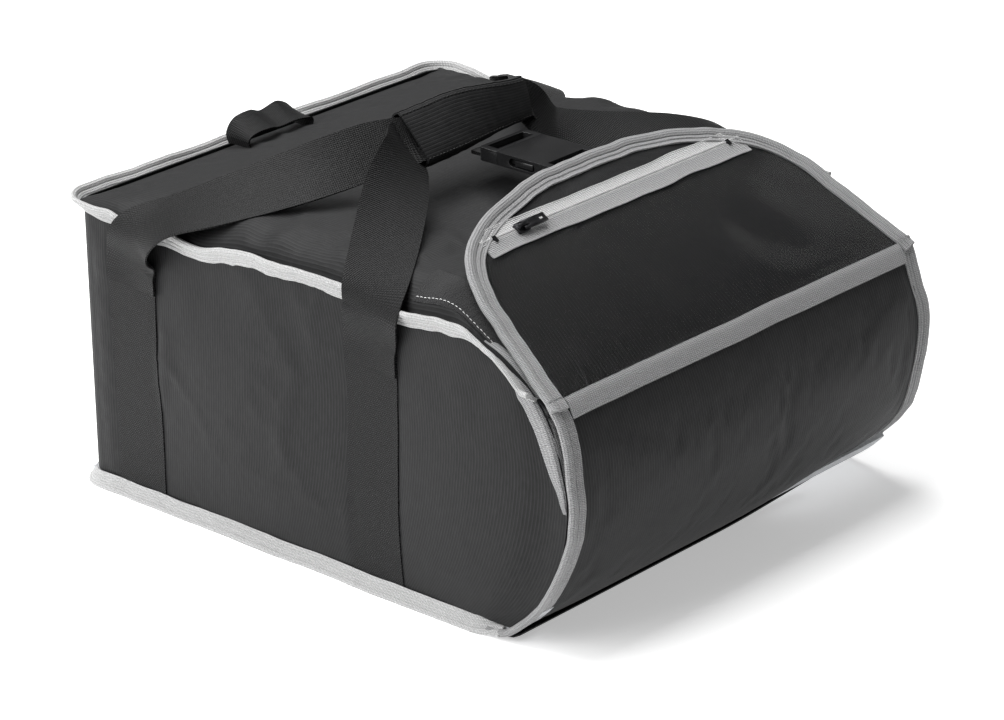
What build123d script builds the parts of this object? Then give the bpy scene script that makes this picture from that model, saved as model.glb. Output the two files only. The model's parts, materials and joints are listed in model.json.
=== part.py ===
from build123d import *
import math
import os

os.makedirs("parts", exist_ok=True)

# Insulated food carrier, in millimetres. +X right, +Y back, +Z up, origin on the ground
# under the middle of the box. The front is one padded flap: it hinges at a sill, folds at
# a cross tape, laps over the front of the top panel and is held by hook tape and a buckle.

# ---- driving dimensions -----------------------------------------------------------------
width = 410.0          # outside, left to right
back_y = 250.0         # outside of the back wall
edge_height = 230.0    # top edge of the side and back walls
dome_rise = 45.0       # the padded top stands this much above its edge
dome_edge_radius = 22.0
dome_start_y = 20.0    # behind this line the top slopes down to the back edge

skin = 1.0             # outer weave
foam = 8.0
liner = 0.8            # foil lining
layer_gap = 0.2
tape = 0.7             # binding tape thickness
tape_width = 12.0      # visible width of a folded binding tape

loop_patch_x = (174.0, 202.0)
loop_patch_y = (-185.0, -97.0)
hook_patch_x = (165.0, 192.0)
hook_patch_run = (14.0, 62.0)

front_foot = (-184.0, 0.0)   # (y, z) where the rounded front meets the ground
fold_y = -235.0              # the flap folds here, along the cross tape
fold_drop = 35.0             # the fold is this much below the walls' top edge
front_bulge = 41.0           # the front stands this far out from that chord
sill_height = 29.0           # the flap hinges here, above the rounded foot
flap_foam = 7.0
mouth_clearance = 0.7        # flap to the bound edge of the side walls

lap_edge_y = -84.0           # the flap's free edge at the middle
lap_edge_rise = 12.0         # that edge stands this much above the dome's crown
lap_foam_thickness = 3.0
lap_skin = 0.8
lap_liner = 0.6
lap_side = (193.0, 70.0)     # outline of the lap: x, distance up the slope
lap_corner = (165.0, 135.0)
lap_top = (63.0, 174.0)
patch = 1.2                  # hook and loop tape
patch_gap = 0.3

webbing_width = 50.0
webbing = 1.6
front_strap_y = -61.0
back_strap_y = 188.0
strap_seam_z = 178.0         # lap seam between side strap and handle leg

grip_middle = (-8.0, 23.0)    # (x, y) over the top
grip_length = 130.0
grip_width = 44.0
grip_thickness = 12.0
grip_lean = 50.0             # degrees: the grip's face looks forward and up
grip_fabric = 1.6

buckle_x = -4.5
buckle_width = 52.0
buckle_height = 10.5
buckle_back_y = -7.0         # rear bar of the male half
frame_length = 18.0
socket_length = 53.0
buckle_wall = 2.2
buckle_clearance = 0.3
buckle_webbing_width = 38.0
rear_bar = 3.5
slot_length = 10.5
bar_radius = 2.0
prong_width = 6.0
prong_clearance = 0.55       # above and below each prong in the socket
window_start = 12.0          # side windows of the socket, from its mouth
window_length = 25.0
window_height = 6.5

back_loop_x = (-47.0, 52.0)
back_loop_rise = 24.0
back_loop_width = 25.0

zip_run = 141.0              # distance of the zip from the fold, up the slope
zip_length = 270.0
zip_chain = 5.0
zip_tape_width = 9.5
slider_x = -105.0
slider_length = 12.0
slider_width = 9.0
pull_length = 24.0

# ---- values worked out from them --------------------------------------------------------
half = width / 2
wall_stack = (0.0, skin, skin + layer_gap, skin + layer_gap + foam)
liner_start = wall_stack[3] + layer_gap
wall_thickness = liner_start + liner

crown_z = edge_height + dome_rise
foot_y, foot_z = front_foot
fold_z = edge_height - fold_drop
fold = (fold_y, fold_z)
lap_edge = (lap_edge_y, crown_z + lap_edge_rise)
chord = math.dist(front_foot, fold)
front_radius = (chord**2 / 4 + front_bulge**2) / (2 * front_bulge)
inward = ((fold_z - foot_z) / chord, -(fold_y - foot_y) / chord)
centre_depth = front_radius - front_bulge
front_centre = (
    (foot_y + fold_y) / 2 + centre_depth * inward[0],
    (foot_z + fold_z) / 2 + centre_depth * inward[1],
)

flap_skin_start = tape + 0.1
flap_foam_start = flap_skin_start + skin + layer_gap
flap_liner_start = flap_foam_start + flap_foam + layer_gap
flap_inner_tape = flap_liner_start + liner + 0.1
flap_thickness = flap_inner_tape + tape
mouth_tape_start = flap_thickness + mouth_clearance
carcass_front = mouth_tape_start + tape + layer_gap

lap_run = math.dist(fold, lap_edge)
lap_angle = math.degrees(math.atan2(lap_edge[1] - fold_z, lap_edge[0] - fold_y))
lap_skin_start = tape + 0.1
lap_foam_start = lap_skin_start + lap_skin + layer_gap
lap_liner_start = lap_foam_start + lap_foam_thickness + layer_gap
lap_inner_tape = lap_liner_start + lap_liner + 0.1
hook_start = lap_inner_tape + tape + 0.1
loop_start = hook_start + patch + patch_gap
carcass_lap = loop_start + patch + layer_gap

side_reach = half - dome_edge_radius
crown_radius = (side_reach**2 + dome_rise**2 - dome_edge_radius**2) / (
    2 * (dome_rise - dome_edge_radius)
)
crown_turn = math.degrees(math.asin(side_reach / (crown_radius - dome_edge_radius)))
back_slope_run = back_y - dome_start_y
back_slope_radius = (back_slope_run**2 + dome_rise**2) / (2 * dome_rise)

grip_top = grip_thickness / 2
wrap_half = grip_width / 2
lean_sine = math.sin(math.radians(grip_lean))
lean_cosine = math.cos(math.radians(grip_lean))
rest_gap = 0.5               # the grip and the buckle lie this far above the top panel
grip_centre_z = crown_z + rest_gap + wrap_half * lean_sine + grip_top * lean_cosine
grip_centre = (grip_middle[0], grip_middle[1], grip_centre_z)

sine = math.sin(math.radians(lap_angle))
cosine = math.cos(math.radians(lap_angle))
lap_plane = Plane(origin=(0, fold_y, fold_z), x_dir=(1, 0, 0), z_dir=(0, -sine, cosine))


def front_angle(height, inset=0.0):
    """Angle about the front's centre of the point at that height, inset from its outside."""
    return 180 - math.degrees(math.asin((height - front_centre[1]) / (front_radius - inset)))


def slope_z(y, depth):
    """Height of the surface that lies depth below the lap, at y."""
    return fold_z + (y - fold_y) * sine / cosine - depth / cosine


def slope_y(z, depth):
    """Place of the surface that lies depth below the lap, at height z."""
    return fold_y + (z - fold_z + depth / cosine) * cosine / sine


far = 2 * back_y
ahead = -1.2 * back_y
sill_angle = front_angle(sill_height)
fold_angle = front_angle(fold_z)


def front_point(inset, angle):
    """Point (y, z) on the flap's arc, inset from its outside."""
    radius = front_radius - inset
    turn = math.radians(angle)
    return (front_centre[0] + radius * math.cos(turn), front_centre[1] + radius * math.sin(turn))


def box_outline(set_in, front_inset):
    """Side view of the box, set_in from its outside, its front front_inset behind the flap's."""
    inner_back_y = back_y - set_in
    inner_radius = back_slope_radius - set_in
    back_centre_z = crown_z - back_slope_radius
    back_angle = math.degrees(math.acos((inner_back_y - dome_start_y) / inner_radius))
    roof_z = crown_z - set_in
    lap_depth = carcass_lap + set_in
    with BuildSketch(Plane.YZ) as outline:
        with Locations(front_centre):
            Circle(front_radius - front_inset - set_in)
        with Locations((front_centre[0] + far / 2, far / 2)):
            Rectangle(far, 2 * far)
        with Locations(front_point(front_inset + set_in, fold_angle)):
            Rectangle(far, far, align=Align.MIN)
        with BuildLine():
            back_arc = CenterArc(
                (dome_start_y, back_centre_z), inner_radius, back_angle, 90 - back_angle
            )
            Polyline(
                back_arc @ 1,
                (slope_y(roof_z, lap_depth), roof_z),
                (ahead, slope_z(ahead, lap_depth)),
                (ahead, set_in),
                (inner_back_y, set_in),
                back_arc @ 0,
            )
        make_face(mode=Mode.INTERSECT)
    return outline.sketch


def arch_outline(set_in):
    """Front view of the box: upright sides under a crowned top."""
    reach = half - set_in
    edge = dome_edge_radius - set_in
    with BuildSketch(Plane.XZ) as outline:
        with BuildLine():
            left = CenterArc((-side_reach, edge_height), edge, 180, crown_turn - 90)
            CenterArc(
                (0, crown_z - crown_radius), crown_radius - set_in, 90 + crown_turn, -2 * crown_turn
            )
            right = CenterArc((side_reach, edge_height), edge, 90 - crown_turn, crown_turn - 90)
            Polyline(right @ 1, (reach, -50), (-reach, -50), left @ 0)
        make_face()
    return outline.sketch


def box_solid(set_in, front_inset):
    """The whole box as one block, set_in from its outside."""
    side = box_outline(set_in, front_inset)
    arch = arch_outline(set_in)
    with BuildPart() as whole:
        extrude(side, amount=half - set_in, both=True)
        extrude(arch, amount=2 * back_y, both=True, mode=Mode.INTERSECT)
    return whole.part


def side_region(*points):
    """A block across the full width from a closed run of (y, z) points."""
    with BuildPart() as region:
        with BuildSketch(Plane.YZ):
            with BuildLine():
                Polyline(*points, close=True)
            make_face()
        extrude(amount=width, both=True)
    return region.part


def flap_sheet(outer, inner, start_angle, end_angle, x_low, x_high):
    """A curved sheet of the flap between two depths, two angles and two sides."""
    with BuildPart() as sheet:
        with BuildSketch(Plane.YZ):
            with BuildLine():
                span = end_angle - start_angle
                outside = CenterArc(front_centre, front_radius - outer, start_angle, span)
                inside = CenterArc(front_centre, front_radius - inner, start_angle, span)
                Line(outside @ 0, inside @ 0)
                Line(outside @ 1, inside @ 1)
            make_face()
        extrude(amount=width, both=True)
        with Locations(((x_low + x_high) / 2, 0, 0)):
            Box(x_high - x_low, 4 * back_y, 4 * back_y, mode=Mode.INTERSECT)
    return sheet.part


def block(x_range, y_range, z_range):
    """A plain box between three pairs of limits, kept out of any builder."""
    middle = [(low + high) / 2 for low, high in (x_range, y_range, z_range)]
    size = [high - low for low, high in (x_range, y_range, z_range)]
    return Pos(*middle) * Box(*size, mode=Mode.PRIVATE)


def save(piece, name):
    """Label a finished piece and write its STEP file."""
    piece.part.label = name
    export_step(piece.part, f"parts/{name}.step")


# ---- regions that divide the box into bottom, walls and top -------------------------------
tray_top = wall_thickness + 0.1
wall_bottom = tray_top + layer_gap
wall_top = edge_height - layer_gap
lid_depth = carcass_lap + wall_thickness + 0.1
sill_inset = wall_thickness + 5
bottom_region = side_region(
    (-far, -10),
    (far, -10),
    (far, tray_top),
    front_point(sill_inset, front_angle(tray_top, sill_inset)),
    front_point(sill_inset, sill_angle),
    front_point(-20, sill_angle),
)
lid_corner_y = slope_y(edge_height, lid_depth)
top_region = side_region(
    (far, edge_height),
    (lid_corner_y, edge_height),
    (ahead, slope_z(ahead, lid_depth)),
    (ahead, far),
    (far, far),
)
wall_corner_y = slope_y(wall_top, lid_depth + layer_gap)
wall_region = side_region(
    (far, wall_bottom),
    (far, wall_top),
    (wall_corner_y, wall_top),
    (ahead, slope_z(ahead, lid_depth + layer_gap)),
    (ahead, wall_bottom),
)

layers = (
    ("outer", wall_stack[0], wall_stack[1]),
    ("foam", wall_stack[2], wall_stack[3]),
    ("liner", liner_start, wall_thickness),
)

# ---- bottom: a shallow tray whose front turns up into the sill ----------------------------
for layer, start, end in layers:
    whole = box_solid(start, 0)
    hollow = box_solid(end, 0)
    with BuildPart() as bottom:
        add(whole)
        add(hollow, mode=Mode.SUBTRACT)
        add(bottom_region, mode=Mode.INTERSECT)
    save(bottom, f"bottom_{layer}")

# ---- top: a crowned lid that also runs down the slope under the lap -------------------------
for layer, start, end in layers:
    whole = box_solid(start, carcass_front)
    hollow = box_solid(end, carcass_front)
    with BuildPart() as top:
        add(whole)
        add(hollow, mode=Mode.SUBTRACT)
        add(top_region, mode=Mode.INTERSECT)
    save(top, f"top_{layer}")

# ---- walls: one outer wrap and one lining round left, back and right ------------------------
for layer, start, end in layers:
    whole = box_solid(start, carcass_front)
    hollow = box_solid(end, carcass_front)
    mouth = block((end - half, half - end), (-far, 0), (0, far))
    with BuildPart() as walls:
        add(whole)
        add(hollow, mode=Mode.SUBTRACT)
        add(mouth, mode=Mode.SUBTRACT)
        add(wall_region, mode=Mode.INTERSECT)
        add(bottom_region, mode=Mode.SUBTRACT)
    if layer != "foam":
        save(walls, f"wall_{layer}")
        continue
    board_edge = half - wall_stack[3]
    boards = {
        "left_foam": block((-half, -board_edge), (-far, far), (0, far)),
        "right_foam": block((board_edge, half), (-far, far), (0, far)),
        "back_foam": block((layer_gap - board_edge, board_edge - layer_gap), (-far, far), (0, far)),
    }
    for name, zone in boards.items():
        with BuildPart() as board:
            add(walls.part)
            add(zone, mode=Mode.INTERSECT)
        save(board, name)

# ---- binding tapes of the box ----------------------------------------------------------------
proud = 0.1
tape_out = proud + tape
band = box_solid(-tape_out, 0)
band_hollow = box_solid(-proud, 0)
top_band = box_solid(-tape_out, carcass_front)
top_band_hollow = box_solid(-proud, carcass_front)
with BuildPart() as bottom_binding:
    add(band)
    add(band_hollow, mode=Mode.SUBTRACT)
    add(block((-width, width), (foot_y + proud, far), (0, tape_width)), mode=Mode.INTERSECT)
save(bottom_binding, "bottom_binding")

top_tape_z = (edge_height - tape_width, edge_height + tape_width / 2)
top_tape_front_y = slope_y(edge_height, carcass_lap) + 2 * tape_width
with BuildPart() as top_binding:
    add(top_band)
    add(top_band_hollow, mode=Mode.SUBTRACT)
    add(block((-width, width), (top_tape_front_y, far), top_tape_z), mode=Mode.INTERSECT)
save(top_binding, "top_binding")

mouth_top_angle = front_angle(slope_z(fold_y, lid_depth), mouth_tape_start)
mouth_low_angle = front_angle(sill_height + tape_width / 2)
leg_depth = mouth_tape_start + tape_width
for side, name in ((-1, "left"), (1, "right")):
    outside_x = half + tape_out
    inside_x = half - wall_thickness - tape_out
    ends = sorted((side * inside_x, side * outside_x))
    inner_ends = sorted((side * (inside_x + tape), side * (half + proud)))
    channel = flap_sheet(mouth_tape_start, leg_depth, mouth_low_angle, mouth_top_angle, *ends)
    groove = flap_sheet(
        mouth_tape_start + tape, leg_depth + 1, mouth_low_angle + 1, mouth_top_angle - 1, *inner_ends
    )
    with BuildPart() as mouth_binding:
        add(channel)
        add(groove, mode=Mode.SUBTRACT)
    save(mouth_binding, f"mouth_binding_{name}")

# ---- webbing sewn up the sides, and the handle's legs ------------------------------------------
strap_x = half + proud
riser_x = half + tape_out + webbing + proud
strap_bottom = tape_width + layer_gap
strap_top = top_tape_z[0] - layer_gap
riser_top = edge_height + 26
for side, side_name in ((-1, "left"), (1, "right")):
    for strap_y, place in ((front_strap_y, "front"), (back_strap_y, "back")):
        with BuildPart() as strap:
            with Locations((side * (strap_x + webbing / 2), strap_y, (strap_bottom + strap_top) / 2)):
                Box(webbing, webbing_width, strap_top - strap_bottom)
        save(strap, f"side_strap_{place}_{side_name}")


def unit(vector):
    """The same direction with length 1."""
    return Vector(*vector).normalized()


leg_reach = grip_length / 2 + 26
leg_spread = 9.0             # front legs reach the grip below its middle, back legs above it
for side, side_name in ((-1, "left"), (1, "right")):
    for strap_y, place, spread in (
        (front_strap_y, "front", -leg_spread), (back_strap_y, "back", leg_spread)
    ):
        start = Vector(side * riser_x, strap_y, riser_top)
        end = Vector(
            grip_centre[0] + side * leg_reach, grip_centre[1] + spread, grip_centre[2] + spread / 2
        )
        along = unit(end - start)
        across = unit((-along.Y, along.X, 0))
        slab_plane = Plane(origin=start, x_dir=along, z_dir=along.cross(across))
        slab_length = (end - start).length
        with BuildPart() as leg:
            with Locations((side * (riser_x + webbing / 2), strap_y, (strap_seam_z + riser_top) / 2)):
                Box(webbing, webbing_width, riser_top - strap_seam_z)
            with BuildSketch(slab_plane):
                with Locations((slab_length / 2 - webbing, 0)):
                    Rectangle(slab_length + 2 * webbing, webbing_width)
            extrude(amount=webbing)
            reach = riser_x + webbing
            add(block((-reach, reach), (-far, far), (0, far)), mode=Mode.INTERSECT)
        save(leg, f"handle_leg_{place}_{side_name}")

# ---- grip: two webbings inside a padded wrap that opens along its lower edge -------------------
grip_plane = Plane(origin=grip_centre, x_dir=(1, 0, 0)).rotated((grip_lean, 0, 0))
core_width = grip_width - 8
return_width = 14.0
return_z = 2.0
return_thickness = 0.8
grip_patch = 0.7
patch_width = 11.0
patch_length = grip_length - 12


def grip_slab(x_size, y_range, z_range):
    """A plain slab in the grip's own plane, kept out of any builder."""
    middle = ((y_range[0] + y_range[1]) / 2, (z_range[0] + z_range[1]) / 2)
    size = (y_range[1] - y_range[0], z_range[1] - z_range[0])
    slab = Pos(0, *middle) * Box(x_size, *size, mode=Mode.PRIVATE)
    return grip_plane.location * slab


with BuildPart() as grip_webbing:
    for low in (-webbing - layer_gap / 2, layer_gap / 2):
        add(grip_slab(grip_length + 20, (-core_width / 2, core_width / 2), (low, low + webbing)))
save(grip_webbing, "grip_webbing")

with BuildPart() as grip_wrap_back:
    add(grip_slab(grip_length, (-wrap_half, wrap_half), (-grip_top, grip_fabric - grip_top)))
    web_top = grip_top - grip_fabric - buckle_clearance
    add(grip_slab(grip_length, (wrap_half - grip_fabric, wrap_half), (-grip_top, web_top)))
    return_top = return_z + return_thickness
    add(grip_slab(grip_length, (-wrap_half, grip_fabric - wrap_half), (-grip_top, return_top)))
    add(grip_slab(grip_length, (-wrap_half, return_width - wrap_half), (return_z, return_top)))
save(grip_wrap_back, "grip_wrap_back")

patch_range = (grip_fabric - wrap_half, grip_fabric - wrap_half + patch_width)
loop_z = return_top + 0.05
hook_z = grip_top - grip_fabric - 0.05
with BuildPart() as grip_loop_tape:
    add(grip_slab(patch_length, patch_range, (loop_z, loop_z + grip_patch)))
save(grip_loop_tape, "grip_loop_tape")
with BuildPart() as grip_hook_tape:
    add(grip_slab(patch_length, patch_range, (hook_z - grip_patch, hook_z)))
save(grip_hook_tape, "grip_hook_tape")
with BuildPart() as grip_wrap_cover:
    add(grip_slab(grip_length, (-wrap_half, wrap_half), (grip_top - grip_fabric, grip_top)))
save(grip_wrap_cover, "grip_wrap_cover")

# ---- grab loop sewn into the back top seam --------------------------------------------------------
loop_foot_z = edge_height + 10
loop_y = back_y - back_loop_width - tape_out
loop_bend = 10.0
with BuildPart() as back_loop:
    with BuildSketch(Plane.XZ.offset(-loop_y)):
        with BuildLine():
            outer = FilletPolyline(
                (back_loop_x[0], loop_foot_z),
                (back_loop_x[0], loop_foot_z + back_loop_rise),
                (back_loop_x[1], loop_foot_z + back_loop_rise),
                (back_loop_x[1], loop_foot_z),
                radius=loop_bend,
            )
            inner = FilletPolyline(
                (back_loop_x[0] + webbing, loop_foot_z),
                (back_loop_x[0] + webbing, loop_foot_z + back_loop_rise - webbing),
                (back_loop_x[1] - webbing, loop_foot_z + back_loop_rise - webbing),
                (back_loop_x[1] - webbing, loop_foot_z),
                radius=loop_bend - webbing,
            )
            Line(outer @ 0, inner @ 0)
            Line(outer @ 1, inner @ 1)
        make_face()
    extrude(amount=-back_loop_width)
save(back_loop, "back_loop")

# ---- flap, lower half ------------------------------------------------------------------------------
end_gap = math.degrees(0.3 / front_radius)
front_low = sill_angle - end_gap
front_high = fold_angle + end_gap
flap_side = half - tape - proud
for layer, start, end in (
    ("outer", flap_skin_start, flap_skin_start + skin),
    ("foam", flap_foam_start, flap_foam_start + flap_foam),
    ("liner", flap_liner_start, flap_liner_start + liner),
):
    with BuildPart() as front:
        add(flap_sheet(start, end, front_low, front_high, -flap_side, flap_side))
    save(front, f"flap_front_{layer}")

with BuildPart() as flap_front_binding:
    for side in (-1, 1):
        ends = sorted((side * (half - tape_width), side * half))
        groove_ends = sorted((side * (half - 2 * tape_width), side * (half - tape)))
        channel = flap_sheet(0, flap_thickness, front_low, front_high, *ends)
        groove = flap_sheet(tape, flap_inner_tape, front_low + 1, front_high - 1, *groove_ends)
        add(channel - groove)
save(flap_front_binding, "flap_front_binding")

cross_tape_width = 15.0
cross_tape_angle = fold_angle + math.degrees(cross_tape_width / front_radius)
cross_side = half - tape_width - layer_gap
with BuildPart() as cross_tape:
    add(flap_sheet(0, tape, cross_tape_angle, front_high, -cross_side, cross_side))
save(cross_tape, "cross_tape")

# ---- flap, upper half: the lap ------------------------------------------------------------------------
cut_angle = fold_angle - end_gap
lap_region = side_region(
    front_point(-60, cut_angle), front_point(90, cut_angle), (far, 0), (far, far), (-far, far)
)


def lap_face(inset, low, high):
    """Outline of the lap set in from its edge, between two distances up the slope."""
    with BuildSketch() as face:
        with BuildLine():
            Line((half, -far), (half, 0))
            Line((half, 0), lap_side)
            corner = ThreePointArc(lap_side, lap_corner, lap_top)
            Line(corner @ 1, (0, lap_run))
            mirror(about=Plane.YZ)
            Line((-half, -far), (half, -far))
        make_face()
        if inset > 0:
            offset(amount=-inset)
        with Locations((0, (low + high) / 2)):
            Rectangle(2 * width, high - low, mode=Mode.INTERSECT)
    return face.sketch


def lap_sheet(start, end, inset, low=-30, high=2 * lap_run):
    """A flat sheet of the lap between two depths."""
    face = lap_plane.offset(-start).location * lap_face(inset, low, high)
    with BuildPart() as sheet:
        extrude(face, amount=start - end, dir=lap_plane.z_dir)
        add(lap_region, mode=Mode.INTERSECT)
    return sheet.part


for layer, start, end in (
    ("outer", lap_skin_start, lap_skin_start + lap_skin),
    ("foam", lap_foam_start, lap_foam_start + lap_foam_thickness),
    ("liner", lap_liner_start, lap_liner_start + lap_liner),
):
    with BuildPart() as lap:
        add(lap_sheet(start, end, tape + proud))
    save(lap, f"lap_{layer}")

lap_channel = lap_sheet(0, lap_inner_tape + tape, 0)
lap_groove = lap_sheet(tape, lap_inner_tape, tape)
lap_middle = lap_sheet(-1, lap_inner_tape + tape + 1, tape_width)
with BuildPart() as lap_binding:
    add(lap_channel)
    add(lap_groove, mode=Mode.SUBTRACT)
    add(lap_middle, mode=Mode.SUBTRACT)
save(lap_binding, "lap_binding")

film = 0.4
film_inset = tape_width + layer_gap
zip_low = zip_run - zip_chain / 2
zip_high = zip_run + zip_chain / 2
film_start = tape - film
with BuildPart() as window_film:
    add(lap_sheet(film_start, tape, film_inset, 2 * proud, zip_low - zip_tape_width - layer_gap))
save(window_film, "window_film")
with BuildPart() as zip_tape_lower:
    add(lap_sheet(proud, tape, film_inset, zip_low - zip_tape_width, zip_low - proud))
save(zip_tape_lower, "zip_tape_lower")
with BuildPart() as zip_tape_upper:
    add(lap_sheet(proud, tape, film_inset, zip_high + proud, zip_high + zip_tape_width))
save(zip_tape_upper, "zip_tape_upper")


def lap_slab(x_range, run_range, depth_range):
    """A plain slab in the lap's own plane, depth counted down from its surface."""
    slab = block(x_range, run_range, (-depth_range[1], -depth_range[0]))
    return lap_plane.location * slab


chain_top = -0.6             # the chain stands this much above the tapes
zip_end = zip_length / 2
stop_length = 3.0
with BuildPart() as zip_teeth:
    chain_ends = (stop_length - zip_end, zip_end - stop_length)
    add(lap_slab(chain_ends, (zip_low, zip_high), (chain_top, tape)))
save(zip_teeth, "zip_teeth")
with BuildPart() as zip_stops:
    for low_end in (-zip_end, zip_end - stop_length + proud):
        stop_ends = (low_end, low_end + stop_length - proud)
        add(lap_slab(stop_ends, (zip_low, zip_high), (chain_top - 1, tape)))
save(zip_stops, "zip_stops")

# ---- slider and its pull --------------------------------------------------------------------------------
slider_clear = 0.3
slider_roof = chain_top - slider_clear
slider_top = slider_roof - 1.8
bridge_rise = 3.2
bridge_bar = 1.0
bridge_width = 2.6
bridge_reach = 4.5
pin_radius = 0.8
pin_depth = slider_top - bridge_rise + bridge_bar + pin_radius + 0.2
slider_ends = (slider_x - slider_length / 2, slider_x + slider_length / 2)
slider_sides = (zip_run - slider_width / 2, zip_run + slider_width / 2)
bridge_ends = (slider_x - bridge_reach, slider_x + bridge_reach)
bridge_sides = (zip_run - bridge_width / 2, zip_run + bridge_width / 2)
with BuildPart() as zip_slider:
    add(lap_slab(slider_ends, slider_sides, (slider_top, 0)))
    channel_sides = (zip_low - slider_clear, zip_high + slider_clear)
    add(lap_slab((slider_x - 30, slider_x + 30), channel_sides, (slider_roof, 1)), mode=Mode.SUBTRACT)
    upright_edges = zip_slider.edges().filter_by(Axis((0, 0, 0), lap_plane.z_dir))
    fillet(upright_edges.group_by(SortBy.LENGTH)[-1], 1.5)
    bridge = lap_slab(bridge_ends, bridge_sides, (slider_top - bridge_rise, slider_top))
    arch_hollow = lap_slab(
        (bridge_ends[0] + bridge_bar, bridge_ends[1] - bridge_bar),
        (zip_run - 5, zip_run + 5),
        (slider_top - bridge_rise + bridge_bar, slider_top),
    )
    add(bridge - arch_hollow)
save(zip_slider, "zip_slider")

arm_gap = 0.3
arm = 2.2
pull_half = bridge_width / 2 + arm_gap + arm
pull_depth = (pin_depth - pin_radius, pin_depth + pin_radius)
arm_end = slider_x + bridge_reach + 1.0
with BuildPart() as zip_pull:
    for side in (-1, 1):
        sides = sorted((zip_run + side * (pull_half - arm), zip_run + side * pull_half))
        add(lap_slab((slider_x - pin_radius, arm_end), sides, pull_depth))
    pull_sides = (zip_run - pull_half, zip_run + pull_half)
    add(lap_slab((arm_end, slider_x + pull_length), pull_sides, pull_depth))
    hole_ends = (slider_x + pull_length - 7, slider_x + pull_length - 2)
    hole_sides = (zip_run - 1.2, zip_run + 1.2)
    add(lap_slab(hole_ends, hole_sides, (pin_depth - 5, pin_depth + 5)), mode=Mode.SUBTRACT)
    pin_plane = lap_plane.offset(-pin_depth)
    pin_origin = pin_plane.from_local_coords((slider_x, zip_run - pull_half, 0))
    with BuildSketch(Plane(origin=pin_origin, x_dir=(1, 0, 0), z_dir=lap_plane.y_dir)):
        Circle(pin_radius)
    extrude(amount=2 * pull_half)
save(zip_pull, "zip_pull")

# ---- hook and loop tape that holds the lap down ---------------------------------------------------
patch_block = box_solid(-(layer_gap + patch), carcass_front)
patch_hollow = box_solid(-layer_gap, carcass_front)
for side, name in ((-1, "left"), (1, "right")):
    patch_x = sorted((side * loop_patch_x[0], side * loop_patch_x[1]))
    with BuildPart() as loop_patch:
        add(patch_block)
        add(patch_hollow, mode=Mode.SUBTRACT)
        add(block(patch_x, loop_patch_y, (fold_z, far)), mode=Mode.INTERSECT)
    save(loop_patch, f"loop_patch_{name}")
    hook_x = sorted((side * hook_patch_x[0], side * hook_patch_x[1]))
    with BuildPart() as hook_patch:
        add(lap_slab(hook_x, hook_patch_run, (hook_start, hook_start + patch)))
    save(hook_patch, f"hook_patch_{name}")

# ---- side-release buckle: frame on the top panel, socket on the lap --------------------------------
buckle_low = crown_z + rest_gap
buckle_high = buckle_low + buckle_height
buckle_half = buckle_width / 2
joint_y = buckle_back_y - frame_length
socket_mouth_y = joint_y - buckle_clearance
socket_front_y = socket_mouth_y - socket_length
buckle_ends = (buckle_x - buckle_half, buckle_x + buckle_half)
slot_half = buckle_webbing_width / 2 + 1.0
slot_ends = (buckle_x - slot_half, buckle_x + slot_half)
slot_back_y = buckle_back_y - rear_bar
slot_front_y = slot_back_y - slot_length
bar_y = slot_front_y + bar_radius + webbing + 1.2
bar_z = crown_z + proud + webbing + buckle_clearance + bar_radius
tab_high = crown_z + proud + 2 * webbing
corner = 3.0

with BuildPart() as buckle_frame:
    add(block(buckle_ends, (joint_y, buckle_back_y), (buckle_low, buckle_high)))
    fillet(buckle_frame.edges().filter_by(Axis.Z).group_by(Axis.Y)[-1], corner)
    slot = block(slot_ends, (slot_front_y, slot_back_y), (buckle_low - 1, buckle_high + 1))
    add(slot, mode=Mode.SUBTRACT)
    tab_way = block(
        slot_ends, (slot_back_y - 1, buckle_back_y + 1), (buckle_low - 1, tab_high + buckle_clearance)
    )
    add(tab_way, mode=Mode.SUBTRACT)
    bar_plane = Plane(origin=(slot_ends[0] - 1, bar_y, bar_z), z_dir=(1, 0, 0))
    with BuildSketch(bar_plane):
        Circle(bar_radius)
    extrude(amount=2 * slot_half + 2)
save(buckle_frame, "buckle_frame")

ring_inner = bar_radius + buckle_clearance
ring_outer = ring_inner + webbing
tab_back_y = grip_centre[1] - 16
tab_ends = (buckle_x - buckle_webbing_width / 2, buckle_x + buckle_webbing_width / 2)
with BuildPart() as buckle_tab:
    add(block(tab_ends, (bar_y, tab_back_y), (crown_z + proud, tab_high)))
    ring_plane = Plane(origin=(tab_ends[0], bar_y, bar_z), z_dir=(1, 0, 0))
    with BuildSketch(ring_plane):
        Circle(ring_outer)
    extrude(amount=buckle_webbing_width)
    with BuildSketch(ring_plane):
        Circle(ring_inner)
    extrude(amount=buckle_webbing_width, mode=Mode.SUBTRACT)
    below = block((-half, half), (-far, far), (0, crown_z + proud))
    add(below, mode=Mode.SUBTRACT)
save(buckle_tab, "buckle_tab")

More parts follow.
